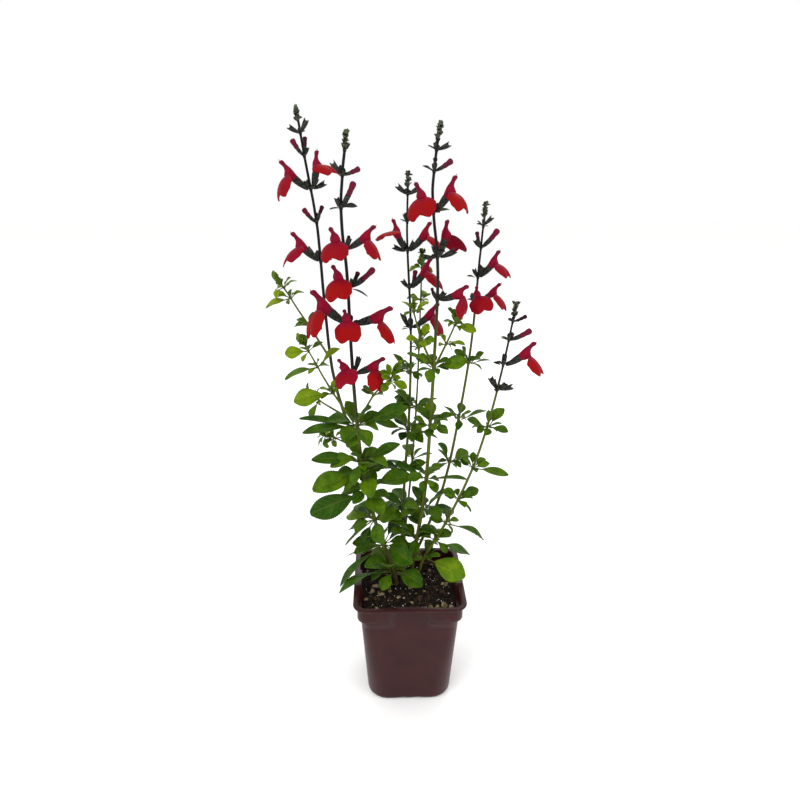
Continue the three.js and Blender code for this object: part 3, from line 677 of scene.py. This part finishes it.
# ---- What grows on the stems -------------------------------------------------------------
# Each leaf, bract, bud, calyx, flower and growing tip is found on the frame's own pieces as a
# group of points standing clear of its stem, and kept as a root, a tip, a side and a width.


class Growth:
    """One thing that grows from a stem, by its root, its tip and its widest place."""

    def __init__(self, root, points, line):
        self.root = root
        self.tip = max(points, key=lambda point: (point - root).length)
        self.length = (self.tip - root).length
        self.along = (self.tip - root).normalized()
        offsets = [(point - root) - self.along * (point - root).dot(self.along) for point in points]
        pairs = ((a, b) for a in range(len(points)) for b in range(a))
        a, b = max(pairs, key=lambda pair: (offsets[pair[0]] - offsets[pair[1]]).length)
        spread = offsets[a] - offsets[b]
        self.width = spread.length
        self.side = spread.normalized()
        self.up = self.along.cross(self.side).normalized()
        if self.up.z < 0:
            self.up, self.side = -self.up, -self.side
        stations = [(point - root).dot(self.along) / self.length for point in points]
        self.widest = (stations[a] + stations[b]) / 2
        beside = [o.dot(self.up) for o, s in zip(offsets, stations) if abs(s - stations[a]) < 0.12]
        self.thickness = max(beside) - min(beside)
        inner = [o.dot(self.up) for o, s in zip(offsets, stations) if 0.15 < s < 0.85]
        self.sag = sum(inner) / len(inner) if inner else 0
        far = [offset for offset in offsets if offset.length > 0.75 * max(o.length for o in offsets)]
        self.down = sum(far, Vector()).normalized()
        self.share = nearest(line, root)[1]


def parent_of(name):
    """The name of the stem or shoot that a leaf or flower piece grows on."""
    return "stem_" + name.split("_")[1] if name.startswith(("leaves_", "flowers_")) else name


def islands(vertices):
    """Groups of vertices joined by edges among themselves, in the order of their indices."""
    left = set(vertices)
    groups = []
    for first in sorted(vertices, key=lambda vertex: vertex.index):
        if first not in left:
            continue
        left.discard(first)
        group = [first]
        for vertex in group:
            for edge in vertex.link_edges:
                other = edge.other_vert(vertex)
                if other in left:
                    left.discard(other)
                    group.append(other)
        groups.append(group)
    return groups


growths = {}
for name in sorted(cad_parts):
    if name in ("pot", "soil"):
        continue
    bm = merged(name)
    bm.verts.index_update()
    stem = stems[parent_of(name)]
    line = stem["line"]
    margin = 0.25 * MM if parent_of(name) == name else 1.85 * MM
    core = set()
    for vertex in bm.verts:
        place, share, distance = nearest(line, vertex.co)
        past_end = share > 0.999 and (vertex.co - line[-1]).dot(line[-1] - line[-2]) > 0.1 * MM * MM
        if distance < rod_radius(stem, share) + margin and not past_end:
            core.add(vertex)
    growths[name] = []
    for group in islands([vertex for vertex in bm.verts if vertex not in core]):
        joined = {edge.other_vert(vertex) for vertex in group for edge in vertex.link_edges} & core
        points = [vertex.co.copy() for vertex in group]
        middle = sum(points, Vector()) / len(points)
        if joined:
            root = sum((vertex.co for vertex in joined), Vector()) / len(joined)
        else:
            root = nearest(line, middle)[0]
        if len(points) > 2 and max((point - root).length for point in points) > 2.5 * MM:
            growths[name].append(Growth(root, points, line))
    bm.free()


# ---- Leaves ------------------------------------------------------------------------------
# Thin folded sheets on a stalk: a rounded oval, widest past the middle, with small blunt teeth
# and a skin that puckers between sunken veins. The upper side is greener than the underside.

BARK, LEAF, CALYX, PETAL = range(4)  # the places of the plant's materials on every piece
VEIN_PITCH = 44.0  # radians of side veins along a leaf, about seven veins
VEIN_SLANT = 0.26  # how far a side vein runs towards the tip on its way to the edge
chance = random.Random(11)

leaf_skin, surface = new_material("sage_leaf_skin")
# Mature green to yellow-green by age, with a lighter midrib and side veins that sink between
# quilted cells about 0.6 mm wide, a paler grey-green underside, and light passing through.
place = node(leaf_skin, "TexCoord", {}, {}).outputs["Object"]
age = node(leaf_skin, "Attribute", {"attribute_name": "tone"}, {}).outputs["Fac"]
upper = node(leaf_skin, "Attribute", {"attribute_name": "upper"}, {}).outputs["Fac"]
along = node(leaf_skin, "Attribute", {"attribute_name": "along"}, {}).outputs["Fac"]
across = node(leaf_skin, "Attribute", {"attribute_name": "across"}, {}).outputs["Fac"]
blotch = node(leaf_skin, "TexNoise", {}, {"Vector": place, "Scale": 140.0, "Detail": 4.0})
shifted = node(
    leaf_skin, "Math", {"operation": "MULTIPLY_ADD"}, {0: blotch.outputs["Fac"], 1: 0.8, 2: -0.42}
)
aged = node(leaf_skin, "Math", {"operation": "ADD"}, {0: shifted.outputs[0], 1: age})
stops = ((0, "#1c3a00"), (1, "#82990a"), (0.3, "#2b5002"), (0.55, "#466902"), (0.78, "#648402"))
leaf_tone = node(leaf_skin, "ValToRGB", {"stops": stops}, {"Fac": aged.outputs[0]})
side_way = node(leaf_skin, "Math", {"operation": "ABSOLUTE"}, {0: across})
slant = node(
    leaf_skin, "Math", {"operation": "MULTIPLY_ADD"}, {0: side_way.outputs[0], 1: -VEIN_SLANT, 2: along}
)
vein_turn = node(leaf_skin, "Math", {"operation": "MULTIPLY"}, {0: slant.outputs[0], 1: VEIN_PITCH})
vein_wave = node(leaf_skin, "Math", {"operation": "COSINE"}, {0: vein_turn.outputs[0]})
side_vein = node(
    leaf_skin, "MapRange", {}, {"Value": vein_wave.outputs[0], "From Min": 0.72, "From Max": 1.0}
)
midrib = node(leaf_skin, "MapRange", {}, {"Value": side_way.outputs[0], "From Min": 0.1, "From Max": 0.02})
half_vein = node(leaf_skin, "Math", {"operation": "MULTIPLY"}, {0: side_vein.outputs[0], 1: 0.6})
vein = node(leaf_skin, "Math", {"operation": "MAXIMUM"}, {0: half_vein.outputs[0], 1: midrib.outputs[0]})
cells = node(leaf_skin, "TexVoronoi", {"feature": "SMOOTH_F1"}, {"Vector": place, "Scale": 1500.0})
quilt = node(
    leaf_skin, "Math", {"operation": "MULTIPLY_ADD"}, {0: cells.outputs["Distance"], 1: -0.5, 2: 0.8}
)
height = node(leaf_skin, "Math", {"operation": "SUBTRACT"}, {0: quilt.outputs[0], 1: vein.outputs[0]})
relief = node(leaf_skin, "Bump", {}, {"Height": height.outputs[0], "Strength": 0.75, "Distance": 0.0005})
faint = node(leaf_skin, "Math", {"operation": "MULTIPLY"}, {0: vein.outputs[0], 1: 0.22})
veined = node(
    leaf_skin,
    "Mix",
    {"data_type": "RGBA"},
    {"Factor": faint.outputs[0], "A": leaf_tone.outputs["Color"], "B": colour("#7c9a45")},
)
lit_side = node(
    leaf_skin,
    "Mix",
    {"data_type": "RGBA"},
    {"Factor": upper, "A": colour("#57722d"), "B": veined.outputs[2]},
)
blade_skin = node(
    leaf_skin,
    "BsdfPrincipled",
    {},
    {
        "Base Color": lit_side.outputs[2],
        "Roughness": 0.38,
        "Specular IOR Level": 0.11,
        "Normal": relief.outputs["Normal"],
    },
)
through = node(leaf_skin, "BsdfTranslucent", {}, {"Color": lit_side.outputs[2]})
leaf_light = node(
    leaf_skin, "MixShader", {}, {0: 0.18, 1: blade_skin.outputs["BSDF"], 2: through.outputs["BSDF"]}
)
leaf_skin.node_tree.links.new(leaf_light.outputs["Shader"], surface)


def new_plant():
    """An empty mesh with the layers that the plant's materials read."""
    bm = bmesh.new()
    for key in ("tone", "along", "across", "upper"):
        bm.verts.layers.float.new(key)
    return bm


def give(vertices, material):
    """Gives every face that touches some vertices one material."""
    for vertex in vertices:
        for face in vertex.link_faces:
            face.material_index = material


def sheet(bm, steps, thickness, material, place_of, tone_of):
    """A thin closed sheet: u runs 0 to 1 along it and v -1 to 1 across it."""
    layers = bm.verts.layers.float
    grid = bmesh.ops.create_grid(bm, x_segments=steps[0], y_segments=steps[1], size=1)["verts"]
    for vertex in grid:
        u, v = (vertex.co.x + 1) / 2, vertex.co.y
        vertex[layers["along"]] = u
        vertex[layers["across"]] = v
        vertex[layers["upper"]] = 1
        vertex[layers["tone"]] = tone_of(u, v)
        vertex.co = place_of(u, v)
    faces = list({face for vertex in grid for face in vertex.link_faces})
    for item in faces + list(grid):
        item.normal_update()
    solid = bmesh.ops.solidify(bm, geom=faces, thickness=thickness)["geom"]
    under = {vertex for item in solid if isinstance(item, bmesh.types.BMFace) for vertex in item.verts}
    for vertex in under:
        vertex[layers["upper"]] = 0
    give(grid, material)
    give(under, material)
    return grid


def basis(along_axis, side_axis):
    """A turn whose X runs along, Y to the side and Z up, from two nearly square directions."""
    x = along_axis.normalized()
    z = x.cross(side_axis).normalized()
    return Matrix((x, z.cross(x), z)).transposed()


def leaf(bm, root, along_axis, side_axis, length, width, sag, tone, material=LEAF, stalk=0.2):
    """One leaf from its joint to its tip. The stalk is a share of the length."""
    turn = basis(along_axis, side_axis)
    roll = chance.uniform(-0.5, 0.5)
    twist = chance.uniform(-0.35, 0.35)
    sway = chance.uniform(-0.05, 0.05) * length
    fold = chance.uniform(0.18, 0.42)
    peak = chance.uniform(1.15, 1.4)
    wave = chance.uniform(0, 6.3)
    foot = length * stalk
    run = length - foot
    teeth = round(length / TOOTH)
    toothed = length > 11 * MM

    def at(x, y, z):
        t = x / length
        angle = roll + twist * t
        rise = 4 * sag * t * (1 - t)
        aside = 4 * sway * t * (1 - t)
        rolled_y = aside + y * math.cos(angle) - z * math.sin(angle)
        rolled_z = rise + z * math.cos(angle) + y * math.sin(angle)
        return root + turn @ Vector((x, rolled_y, rolled_z))

    def blade_at(u, v):
        swell = math.sin(math.pi * (0.012 + 0.976 * u) ** peak) ** 0.78
        notch = 1 + (0.04 * math.sin(2 * math.pi * teeth * u) * abs(v) ** 3 if toothed else 0)
        y = v * width / 2 * max(swell, 0.03) * notch
        pucker = math.cos(VEIN_PITCH * (u - VEIN_SLANT * abs(v))) if toothed else 0
        quilting = pucker * 0.018 * width * (1 - v * v) * swell
        ruffle = 0.035 * width * math.sin(7 * u + wave) * v * abs(v)
        return at(foot + run * u, y * math.cos(fold), abs(y) * math.sin(fold) - quilting + ruffle)

    steps = (4 * teeth, 8 if length > 20 * MM else 6) if toothed else (13, 6)
    mood = chance.uniform(-0.06, 0.06)
    sheet(bm, steps, 0.32 * MM, material, blade_at, lambda u, v: tone + mood + 0.1 * (1 - u) * (1 - abs(v)))
    tone_layer = bm.verts.layers.float["tone"]
    if stalk > 0.05:
        points = [at(length * (stalk + 0.55) * i / 6, 0, -0.15 * MM) for i in range(7)]
        radii = [(0.62 - 0.07 * i) * MM * min(1, 0.45 + length / (50 * MM)) for i in range(7)]
        hue = [0.55, 0.5, 0.44, 0.42, 0.4, 0.4, 0.4]
        give(tube(bm, points, radii, 6, marks=[(tone_layer, hue)]), BARK)


TOOTH = 2.3 * MM  # from one tooth of a leaf's edge to the next
FRONT = Vector((0, -1, 0))


def leaf_tone_of(growth):
    """The higher a leaf, the younger and yellower."""
    rise = min(1, max(0, (growth.root.z - 0.16) / 0.16))
    return 0.28 + 0.3 * rise + chance.uniform(-0.16, 0.2)


def facing(along_axis, up_axis, amount):
    """The side of a leaf whose upper face turns some way towards the light in front."""
    return (up_axis + FRONT * amount).cross(along_axis)


def tuft(bm, centre, axis, radius, count, sizes, tone):
    """Small leaves that crowd the angles of a joint and reach up and out."""
    square = axis.orthogonal().normalized()
    start = chance.uniform(0, 2 * math.pi)
    for index in range(count):
        turn = start + index * 2 * math.pi / count + chance.uniform(-0.5, 0.5)
        out = Matrix.Rotation(turn, 3, axis) @ square
        lift = math.radians(chance.uniform(-28, 55))
        ahead = out * math.cos(lift) + axis * math.sin(lift)
        length = chance.uniform(*sizes)
        root = centre + out * radius * 0.7 + axis * chance.uniform(-0.4, 0.8) * MM
        side = axis.cross(out)
        width = length * chance.uniform(0.46, 0.62)
        mood = tone + chance.uniform(-0.16, 0.2)
        side = facing(ahead, ahead.cross(side), chance.uniform(0, 0.5))
        leaf(bm, root, ahead, side, length, width, length * chance.uniform(0.08, 0.18), mood)


def grow_leaf(bm, growth, axis, young):
    """A leaf in the place of one found on the frame. Young ones are rounder and yellower."""
    width = min(1.22 * growth.width, 0.56 * growth.length)
    yellow = growth.root.z < SOIL_HIGH.z + 30 * MM and growth.root.x > 0
    if young or yellow:
        width = max(width, 0.6 * growth.length if yellow else 0.52 * growth.length)
    sag = max(0.05, min(growth.sag / growth.length * 1.5, 0.2)) * growth.length
    side = growth.side
    if growth.width > 0.62 * growth.length or (growth.thickness > 2 * MM and growth.sag < 3 * MM):
        side = axis.cross(growth.along)
        sag = 0.05 * growth.length
    tone = 0.74 if yellow else leaf_tone_of(growth) + 0.25 * young
    side = facing(growth.along, growth.along.cross(side), 0.75 if yellow else 0.3)
    leaf(bm, growth.root, growth.along, side, growth.length * 1.04, width, sag, tone)


# ---- Flowers and buds --------------------------------------------------------------------
# A ribbed, two-lipped calyx, almost black, holds a magenta tube that swells below, a narrow
# hooked hood above its mouth and a broad convex lower lip of two lobes. Buds are clubs of plum.

calyx_skin, surface = new_material("sage_calyx_skin")
# Almost black purple, a little greener in the grooves and slate green on the young scales of a
# growing tip, with a dusting of tiny glands that catches the light along the ribs.
place = node(calyx_skin, "TexCoord", {}, {}).outputs["Object"]
youth = node(calyx_skin, "Attribute", {"attribute_name": "tone"}, {}).outputs["Fac"]
cloud = node(calyx_skin, "TexNoise", {}, {"Vector": place, "Scale": 700.0, "Detail": 3.0})
greening = node(
    calyx_skin, "Math", {"operation": "MULTIPLY_ADD"}, {0: youth, 1: 0.45, 2: cloud.outputs["Fac"]}
)
stops = ((0.32, "#0c090b"), (0.72, "#3a3d35"), (1, "#5d6947"))
calyx_tone = node(calyx_skin, "ValToRGB", {"stops": stops}, {"Fac": greening.outputs[0]})
glands = node(calyx_skin, "TexNoise", {}, {"Vector": place, "Scale": 4200.0, "Detail": 1.0})
relief = node(calyx_skin, "Bump", {}, {"Height": glands.outputs["Fac"], "Strength": 0.3, "Distance": 0.0002})
calyx_light = node(
    calyx_skin,
    "BsdfPrincipled",
    {},
    {
        "Base Color": calyx_tone.outputs["Color"],
        "Roughness": 0.5,
        "Specular IOR Level": 0.12,
        "Normal": relief.outputs["Normal"],
    },
)
calyx_skin.node_tree.links.new(calyx_light.outputs["BSDF"], surface)

petal_velvet, surface = new_material("sage_petal_velvet")
# Plum in the bud, magenta on the tube and hood and bright red on the lower lip, with a fine
# velvet nap, faint lengthways veins, and some light passing through. The tones also hold painted
# shade: darker where the lip leaves the tube and where the tube leaves the calyx.
place = node(petal_velvet, "TexCoord", {}, {}).outputs["Object"]
# The tone attribute: plum through magenta to red, lowered as painted shade in the lip's throat and at the
# tube's base.
hue_and_painted_shade = node(petal_velvet, "Attribute", {"attribute_name": "tone"}, {}).outputs["Fac"]
across = node(petal_velvet, "Attribute", {"attribute_name": "across"}, {}).outputs["Fac"]
flush = node(petal_velvet, "TexNoise", {}, {"Vector": place, "Scale": 260.0, "Detail": 3.0})
flushed = node(
    petal_velvet, "Math", {"operation": "MULTIPLY_ADD"}, {0: flush.outputs["Fac"], 1: 0.5, 2: -0.25}
)
flushed_hue_and_shade = node(petal_velvet, "Math", {"operation": "ADD"}, {0: flushed.outputs[0], 1: hue_and_painted_shade})
stops = (
    (0.05, "#2b0f19"),
    (0.95, "#980205"),
    (0.22, "#591d33"),
    (0.42, "#780f2d"),
    (0.6, "#8c0328"),
    (0.78, "#8e0318"),
)
petal_tone = node(petal_velvet, "ValToRGB", {"stops": stops}, {"Fac": flushed_hue_and_shade.outputs[0]})
vein_turn = node(petal_velvet, "Math", {"operation": "MULTIPLY"}, {0: across, 1: 34.0})
vein_wave = node(petal_velvet, "Math", {"operation": "SINE"}, {0: vein_turn.outputs[0]})
nap = node(petal_velvet, "TexNoise", {}, {"Vector": place, "Scale": 3600.0, "Detail": 2.0})
napped = node(
    petal_velvet,
    "Math",
    {"operation": "MULTIPLY_ADD"},
    {0: vein_wave.outputs[0], 1: 0.25, 2: nap.outputs["Fac"]},
)
relief = node(petal_velvet, "Bump", {}, {"Height": napped.outputs[0], "Strength": 0.35, "Distance": 0.0002})
velvet = node(
    petal_velvet,
    "BsdfPrincipled",
    {},
    {
        "Base Color": petal_tone.outputs["Color"],
        "Roughness": 0.6,
        "Specular IOR Level": 0.1,
        "Normal": relief.outputs["Normal"],
    },
)
through = node(petal_velvet, "BsdfTranslucent", {}, {"Color": petal_tone.outputs["Color"]})
petal_light = node(
    petal_velvet, "MixShader", {}, {0: 0.22, 1: velvet.outputs["BSDF"], 2: through.outputs["BSDF"]}
)
petal_velvet.node_tree.links.new(petal_light.outputs["Shader"], surface)


def turned(bm, rings, sides, material, tones, place_of):
    """A closed body of rings. place_of takes a ring's number and an angle."""
    tone_layer = bm.verts.layers.float["tone"]
    first = bmesh.ops.create_circle(bm, cap_ends=True, segments=sides, radius=1)["verts"]
    edges = list({edge for vertex in first for edge in vertex.link_edges})
    made = list(first)
    for index in range(1, rings):
        grown = bmesh.ops.extrude_edge_only(bm, edges=edges)["geom"]
        ring = [item for item in grown if isinstance(item, bmesh.types.BMVert)]
        edges = [item for item in grown if isinstance(item, bmesh.types.BMEdge)]
        bmesh.ops.translate(bm, vec=Vector((0, 0, 1)), verts=ring)
        made += ring
    bmesh.ops.contextual_create(bm, geom=edges)
    for vertex in made:
        ring = round(vertex.co.z)
        vertex[tone_layer] = tones[ring]
        vertex.co = place_of(ring, math.atan2(vertex.co.y, vertex.co.x))
    give(made, material)
    return made


def curled(matrix, length, degrees):
    """Turns places along X from the root into the piece's own, bent up along its length."""
    rate = math.radians(degrees) / length

    def place_of(x, y, z):
        turn = rate * x
        bent_x = math.sin(turn) / rate - z * math.sin(turn)
        return matrix @ Vector((bent_x, y, (1 - math.cos(turn)) / rate + z * math.cos(turn)))

    return place_of


CALYX_RINGS = (
    (0, 0.5),
    (0.6, 0.95),
    (3, 1.65),
    (6.5, 2.3),
    (9.5, 2.6),
    (11.6, 2.5),
    (11.5, 2.2),
    (9, 1.7),
    (5, 1.0),
)
CALYX_RIBS = 13
MOUTH_RINGS = (5, 6)


def calyx(bm, at, scale, girth=1.0):
    """A ribbed funnel with one broad tooth above its mouth and two below."""

    def place_of(ring, angle):
        x, radius = CALYX_RINGS[ring]
        teeth = max(0, math.cos(angle - math.pi / 2)) ** 3 * 2.4
        for tooth in (-0.28 * math.pi, -0.72 * math.pi):
            teeth += 2.3 * math.exp(-(((angle - tooth) / 0.42) ** 2))
        lift = teeth if ring in MOUTH_RINGS else 0
        rib = 1 + 0.07 * math.cos(CALYX_RIBS * angle) * (1 if 0 < ring < 6 else 0)
        radius = (radius * rib * girth + 0.04 * lift) * scale
        return at((x + lift) * scale, radius * math.cos(angle), radius * math.sin(angle))

    return turned(bm, len(CALYX_RINGS), 2 * CALYX_RIBS, CALYX, [0] * len(CALYX_RINGS), place_of)


# Rings of the corolla, each [along, radius, height of its middle, how narrow it is].
COROLLA = (
    (7, 1.3, 0, 1),
    (11, 2.2, 0, 0.95),
    (13.5, 2.9, -0.25, 0.92),
    (16, 3.35, -0.35, 0.9),
    (17.8, 3.3, -0.1, 0.88),
    (18.8, 2.6, 0.7, 0.84),
    (19.8, 1.9, 1.4, 0.8),
    (21.2, 1.4, 1.8, 0.8),
    (23, 1.3, 2.0, 0.85),
    (24.6, 1.5, 1.95, 0.95),
    (25.7, 1.3, 1.7, 1),
    (26.3, 0.7, 1.4, 1),
)
# The rings' tones: low at the tube's base, partly its own plum-magenta and partly painted shade where the
# tube leaves the calyx, reddest on the swell, and darker again towards the hood's tip.
COROLLA_TONE_AND_SHADE = (0.36, 0.44, 0.56, 0.64, 0.6, 0.54, 0.48, 0.44, 0.42, 0.4, 0.36, 0.34)
LIP_LENGTH = 17 * MM
LIP_HALF = 10.8 * MM


def flower(bm, growth):
    """An open flower from its joint to the tip of its hood."""
    scale = growth.length / (26 * MM)
    hang = (growth.down - growth.along * growth.down.dot(growth.along)).normalized()
    swing = chance.uniform(0.1, 0.5) * (1 if growth.along.x < 0 else -1)
    hang = Matrix.Rotation(swing, 3, growth.along) @ hang
    matrix = Matrix.Translation(growth.root) @ basis(growth.along, growth.along.cross(hang)).to_4x4()
    at = curled(matrix, growth.length, chance.uniform(10, 18))
    unit = scale * MM
    calyx(bm, at, unit)

    def corolla_at(ring, angle):
        x, radius, middle, narrow = COROLLA[ring]
        wide = 1.1 * radius * unit
        return at(x * unit, wide * narrow * math.cos(angle), middle * unit + wide * math.sin(angle))

    turned(bm, len(COROLLA), 16, PETAL, COROLLA_TONE_AND_SHADE, corolla_at)
    spread = scale * chance.uniform(0.94, 1.06)
    start = math.radians(chance.uniform(56, 76))
    sweep = math.radians(chance.uniform(46, 72))
    phase = chance.uniform(0, 6.3)

    def lip_at(u, v):
        span = abs(v)
        if span < 0.5:
            reach = 0.87 + 0.13 * math.sin(math.pi * span)
        else:
            reach = 0.66 + 0.34 * math.cos(math.pi * (span - 0.5))
        s = u * reach
        bend = start + sweep * s
        down = LIP_LENGTH * spread * (math.cos(start) - math.cos(bend)) / sweep
        ahead = LIP_LENGTH * spread * (math.sin(bend) - math.sin(start)) / sweep
        open_out = math.sin(math.pi / 2 * min(1, u / 0.48))
        half = 2.1 * unit + (LIP_HALF * spread - 2.1 * unit) * open_out
        y = v * half
        droop = 0.34 * span**2.2 * half * open_out
        crease = 0.5 * unit * math.exp(-((v / 0.16) ** 2)) * u
        ruffle = (0.5 * math.sin(5 * v + 3 * u + phase) + 0.16 * math.sin(13 * v + phase)) * unit * u * u
        back = droop + crease - ruffle
        return at(
            17.2 * unit + ahead - back * math.sin(bend),
            y * (1 - 0.1 * span * open_out),
            -2.4 * unit - down - back * math.cos(bend) * 0.3,
        )

    warmth = chance.uniform(0.05, 0.55)
    # The lip reddens outwards. Its lower tone where it leaves the tube is partly its own magenta and partly
    # painted shade in the throat under the hood.
    sheet(bm, (16, 22), 0.35 * MM, PETAL, lip_at, lambda u, v: 0.4 + (0.16 + warmth) * min(1, u * 2.4))
    style = [at(x * unit, 0, z * unit) for x, z in ((24, 1.4), (25.6, 1.3), (26.8, 1.5), (27.6, 1.9))]
    tone_layer = bm.verts.layers.float["tone"]
    style_radii = [0.3 * MM, 0.28 * MM, 0.24 * MM, 0.12 * MM]
    give(tube(bm, style, style_radii, 6, marks=[(tone_layer, [0.45] * 4)]), PETAL)


# Rings of a bud, each [share of its length, radius].
BUD = (
    (0.3, 0.8),
    (0.45, 1.5),
    (0.58, 1.9),
    (0.7, 1.75),
    (0.82, 2.15),
    (0.91, 2.2),
    (0.96, 1.8),
    (0.99, 0.9),
)


def bud(bm, growth):
    """A club-shaped bud standing out of its calyx."""
    side = Vector((0, 0, 1)).cross(growth.along)
    matrix = Matrix.Translation(growth.root) @ basis(growth.along, side).to_4x4()
    at = curled(matrix, growth.length, 14)
    length = growth.length
    stout = min(1.0, length / (15 * MM)) * MM
    calyx(bm, at, min(0.46 * length / 12, 0.8 * MM))
    tones = [0.18, 0.24, 0.32, 0.3, 0.36, 0.36, 0.3, 0.26] if length > 12 * MM else [0.1] * len(BUD)

    def place_of(ring, angle):
        share, radius = BUD[ring]
        hook = 0.5 * (share - 0.3) * stout
        wide = radius * stout
        return at(share * length, 0.85 * wide * math.cos(angle), hook + wide * math.sin(angle))

    turned(bm, len(BUD), 14, PETAL, tones, place_of)


def empty_calyx(bm, growth):
    """A calyx whose flower hasn't opened yet or has fallen."""
    side = Vector((0, 0, 1)).cross(growth.along)
    matrix = Matrix.Translation(growth.root) @ basis(growth.along, side).to_4x4()
    calyx(bm, curled(matrix, growth.length, 10), growth.length / 13.8, min(1, 11 * MM / growth.length))


def whorl(bm, centre, axis, radius, youth):
    """Dark little calyces and pointed bracts that crowd a flowering joint."""
    square = axis.orthogonal().normalized()
    start = chance.uniform(0, 2 * math.pi)
    for index in range(4):
        turn = start + index * math.pi / 2 + chance.uniform(-0.35, 0.35)
        out = Matrix.Rotation(turn, 3, axis) @ square
        lift = math.radians(chance.uniform(8, 30) if index % 2 else chance.uniform(42, 66))
        ahead = out * math.cos(lift) + axis * math.sin(lift)
        root = centre + out * radius * 0.6
        if index % 2:
            length = chance.uniform(4.5, 8) * youth * MM
            leaf(bm, root, ahead, axis.cross(out), length, 0.62 * length, 0.1 * length, 0.15, CALYX, 0.03)
        else:
            length = chance.uniform(6, 10) * youth * MM
            matrix = Matrix.Translation(root) @ basis(ahead, axis.cross(out)).to_4x4()
            calyx(bm, curled(matrix, length, 12), length / 14, 1.2)


SCALE_PAIRS = 5  # in one growing tip


def scaly_tip(bm, centre, axis, length, leafy):
    """The growing end of a stem: pairs of cupped scales that shrink and pale towards the point."""
    square = axis.orthogonal().normalized()
    for pair in range(SCALE_PAIRS):
        share = pair / SCALE_PAIRS
        for half in range(2):
            turn = pair * math.pi / 2 + half * math.pi + chance.uniform(-0.2, 0.2)
            out = Matrix.Rotation(turn, 3, axis) @ square
            lift = math.radians(50 + 32 * share + chance.uniform(-6, 6))
            ahead = out * math.cos(lift) + axis * math.sin(lift)
            size = length * (0.42 - 0.12 * share)
            root = centre + axis * length * 0.8 * share
            tone = (0.7 if leafy else 0.5) + 0.4 * share + chance.uniform(-0.06, 0.06)
            skin = LEAF if leafy else CALYX
            leaf(bm, root, ahead, axis.cross(out), size, size * 0.8, 0.2 * size, tone, skin, stalk=0.02)


# ---- The plant's pieces, one for each of the frame's -------------------------------------
# Stems and shoots first, each with what grows on it, then the joints with their leaves or
# flowers, each slightly swollen round its stem.

GREEN_STEMS = ("stem_4", "shoot")
# How leafy each stem is: the left front one most, the two thin ones on the right least.
FULLNESS = {"stem_2": 1.3, "stem_3": 0.95, "stem_4": 0.8, "stem_5": 1.0, "stem_6": 0.75, "stem_7": 0.7}


def joint_swelling(bm, centre, axis, radius, tone):
    """The slight knob where leaves or flowers part from a stem."""
    rings = ((-1.5, 0.9), (-0.8, 1.16), (0, 1.26), (0.8, 1.16), (1.5, 0.9))
    points = [centre + axis * x * MM for x, _ in rings]
    radii = [radius * grow + 0.1 * MM for _, grow in rings]
    tone_layer = bm.verts.layers.float["tone"]
    give(tube(bm, points, radii, 8, 0.86, marks=[(tone_layer, [tone] * len(rings))]), BARK)


def place_on(line, share):
    """The point and heading at a share of a line."""
    last = len(line) - 1
    index = min(last - 1, int(share * last))
    point = line[index].lerp(line[index + 1], share * last - index)
    return point, (line[min(last, index + 2)] - line[max(0, index - 1)]).normalized()


for name in sorted(growths):
    parent = parent_of(name)
    stem = stems[parent]
    line = stem["line"]
    green = parent.startswith(GREEN_STEMS)
    own = parent == name
    bm = new_plant()
    tone_layer = bm.verts.layers.float["tone"]
    if own:
        shares = [index / (len(line) - 1) for index in range(len(line))]
        radii = [rod_radius(stem, share) * STOUT for share in shares]
        tones = [ripeness_at(name, share) for share in shares]
        give(tube(bm, line, radii, 8, CORNER_FLAT, marks=[(tone_layer, tones)]), BARK)
        scaly_tip(bm, line[-5], (line[-1] - line[-5]).normalized(), 13 * MM, green)
    shares = sorted(growth.share for growth in growths[name])
    joints = [share for index, share in enumerate(shares) if index == 0 or share - shares[index - 1] > 0.02]
    for share in joints:
        centre, axis = place_on(line, share)
        joint_swelling(bm, centre, axis, rod_radius(stem, share) * STOUT, ripeness_at(parent, share))
        if name.startswith("leaves_"):
            low = 1 - min(1, max(0, (centre.z - 0.12) / 0.2))
            full = FULLNESS[parent]
            sizes = ((7 + 5 * low) * full * MM, (14 + 10 * low) * full * MM)
            tuft(bm, centre, axis, rod_radius(stem, share), round(9 * full), sizes, 0.5)
        elif green and share < 0.97:
            tuft(bm, centre, axis, rod_radius(stem, share), 6, (6 * MM, 12 * MM), 0.75)
        else:
            whorl(bm, centre, axis, rod_radius(stem, share), 0.45 + 0.55 * min(1, (1 - share) / 0.16))
    for growth in growths[name]:
        axis = place_on(line, growth.share)[1]
        thin = growth.thickness < 1.4 * MM
        if name.startswith("leaves_") or (green and growth.share < 0.99):
            grow_leaf(bm, growth, axis, parent.startswith("shoot"))
        elif growth.width > 13 * MM and growth.length > 18 * MM:
            flower(bm, growth)
        elif own and growth.share > 0.97:
            continue
        elif thin:
            length, width = growth.length, 0.46 * growth.length
            leaf(bm, growth.root, growth.along, growth.side, length, width, growth.sag, 0, CALYX, 0.03)
        elif growth.widest > 0.8:
            empty_calyx(bm, growth)
        else:
            bud(bm, growth)
    bmesh.ops.recalc_face_normals(bm, faces=bm.faces)
    piece = show(bm, "sage_" + name, [bark, leaf_skin, calyx_skin, petal_velvet])
    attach(piece, "root")
    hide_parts(name)

seen_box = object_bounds()
sizes = {"cad": [list(corner) for corner in cad_box], "seen": [list(corner) for corner in seen_box]}
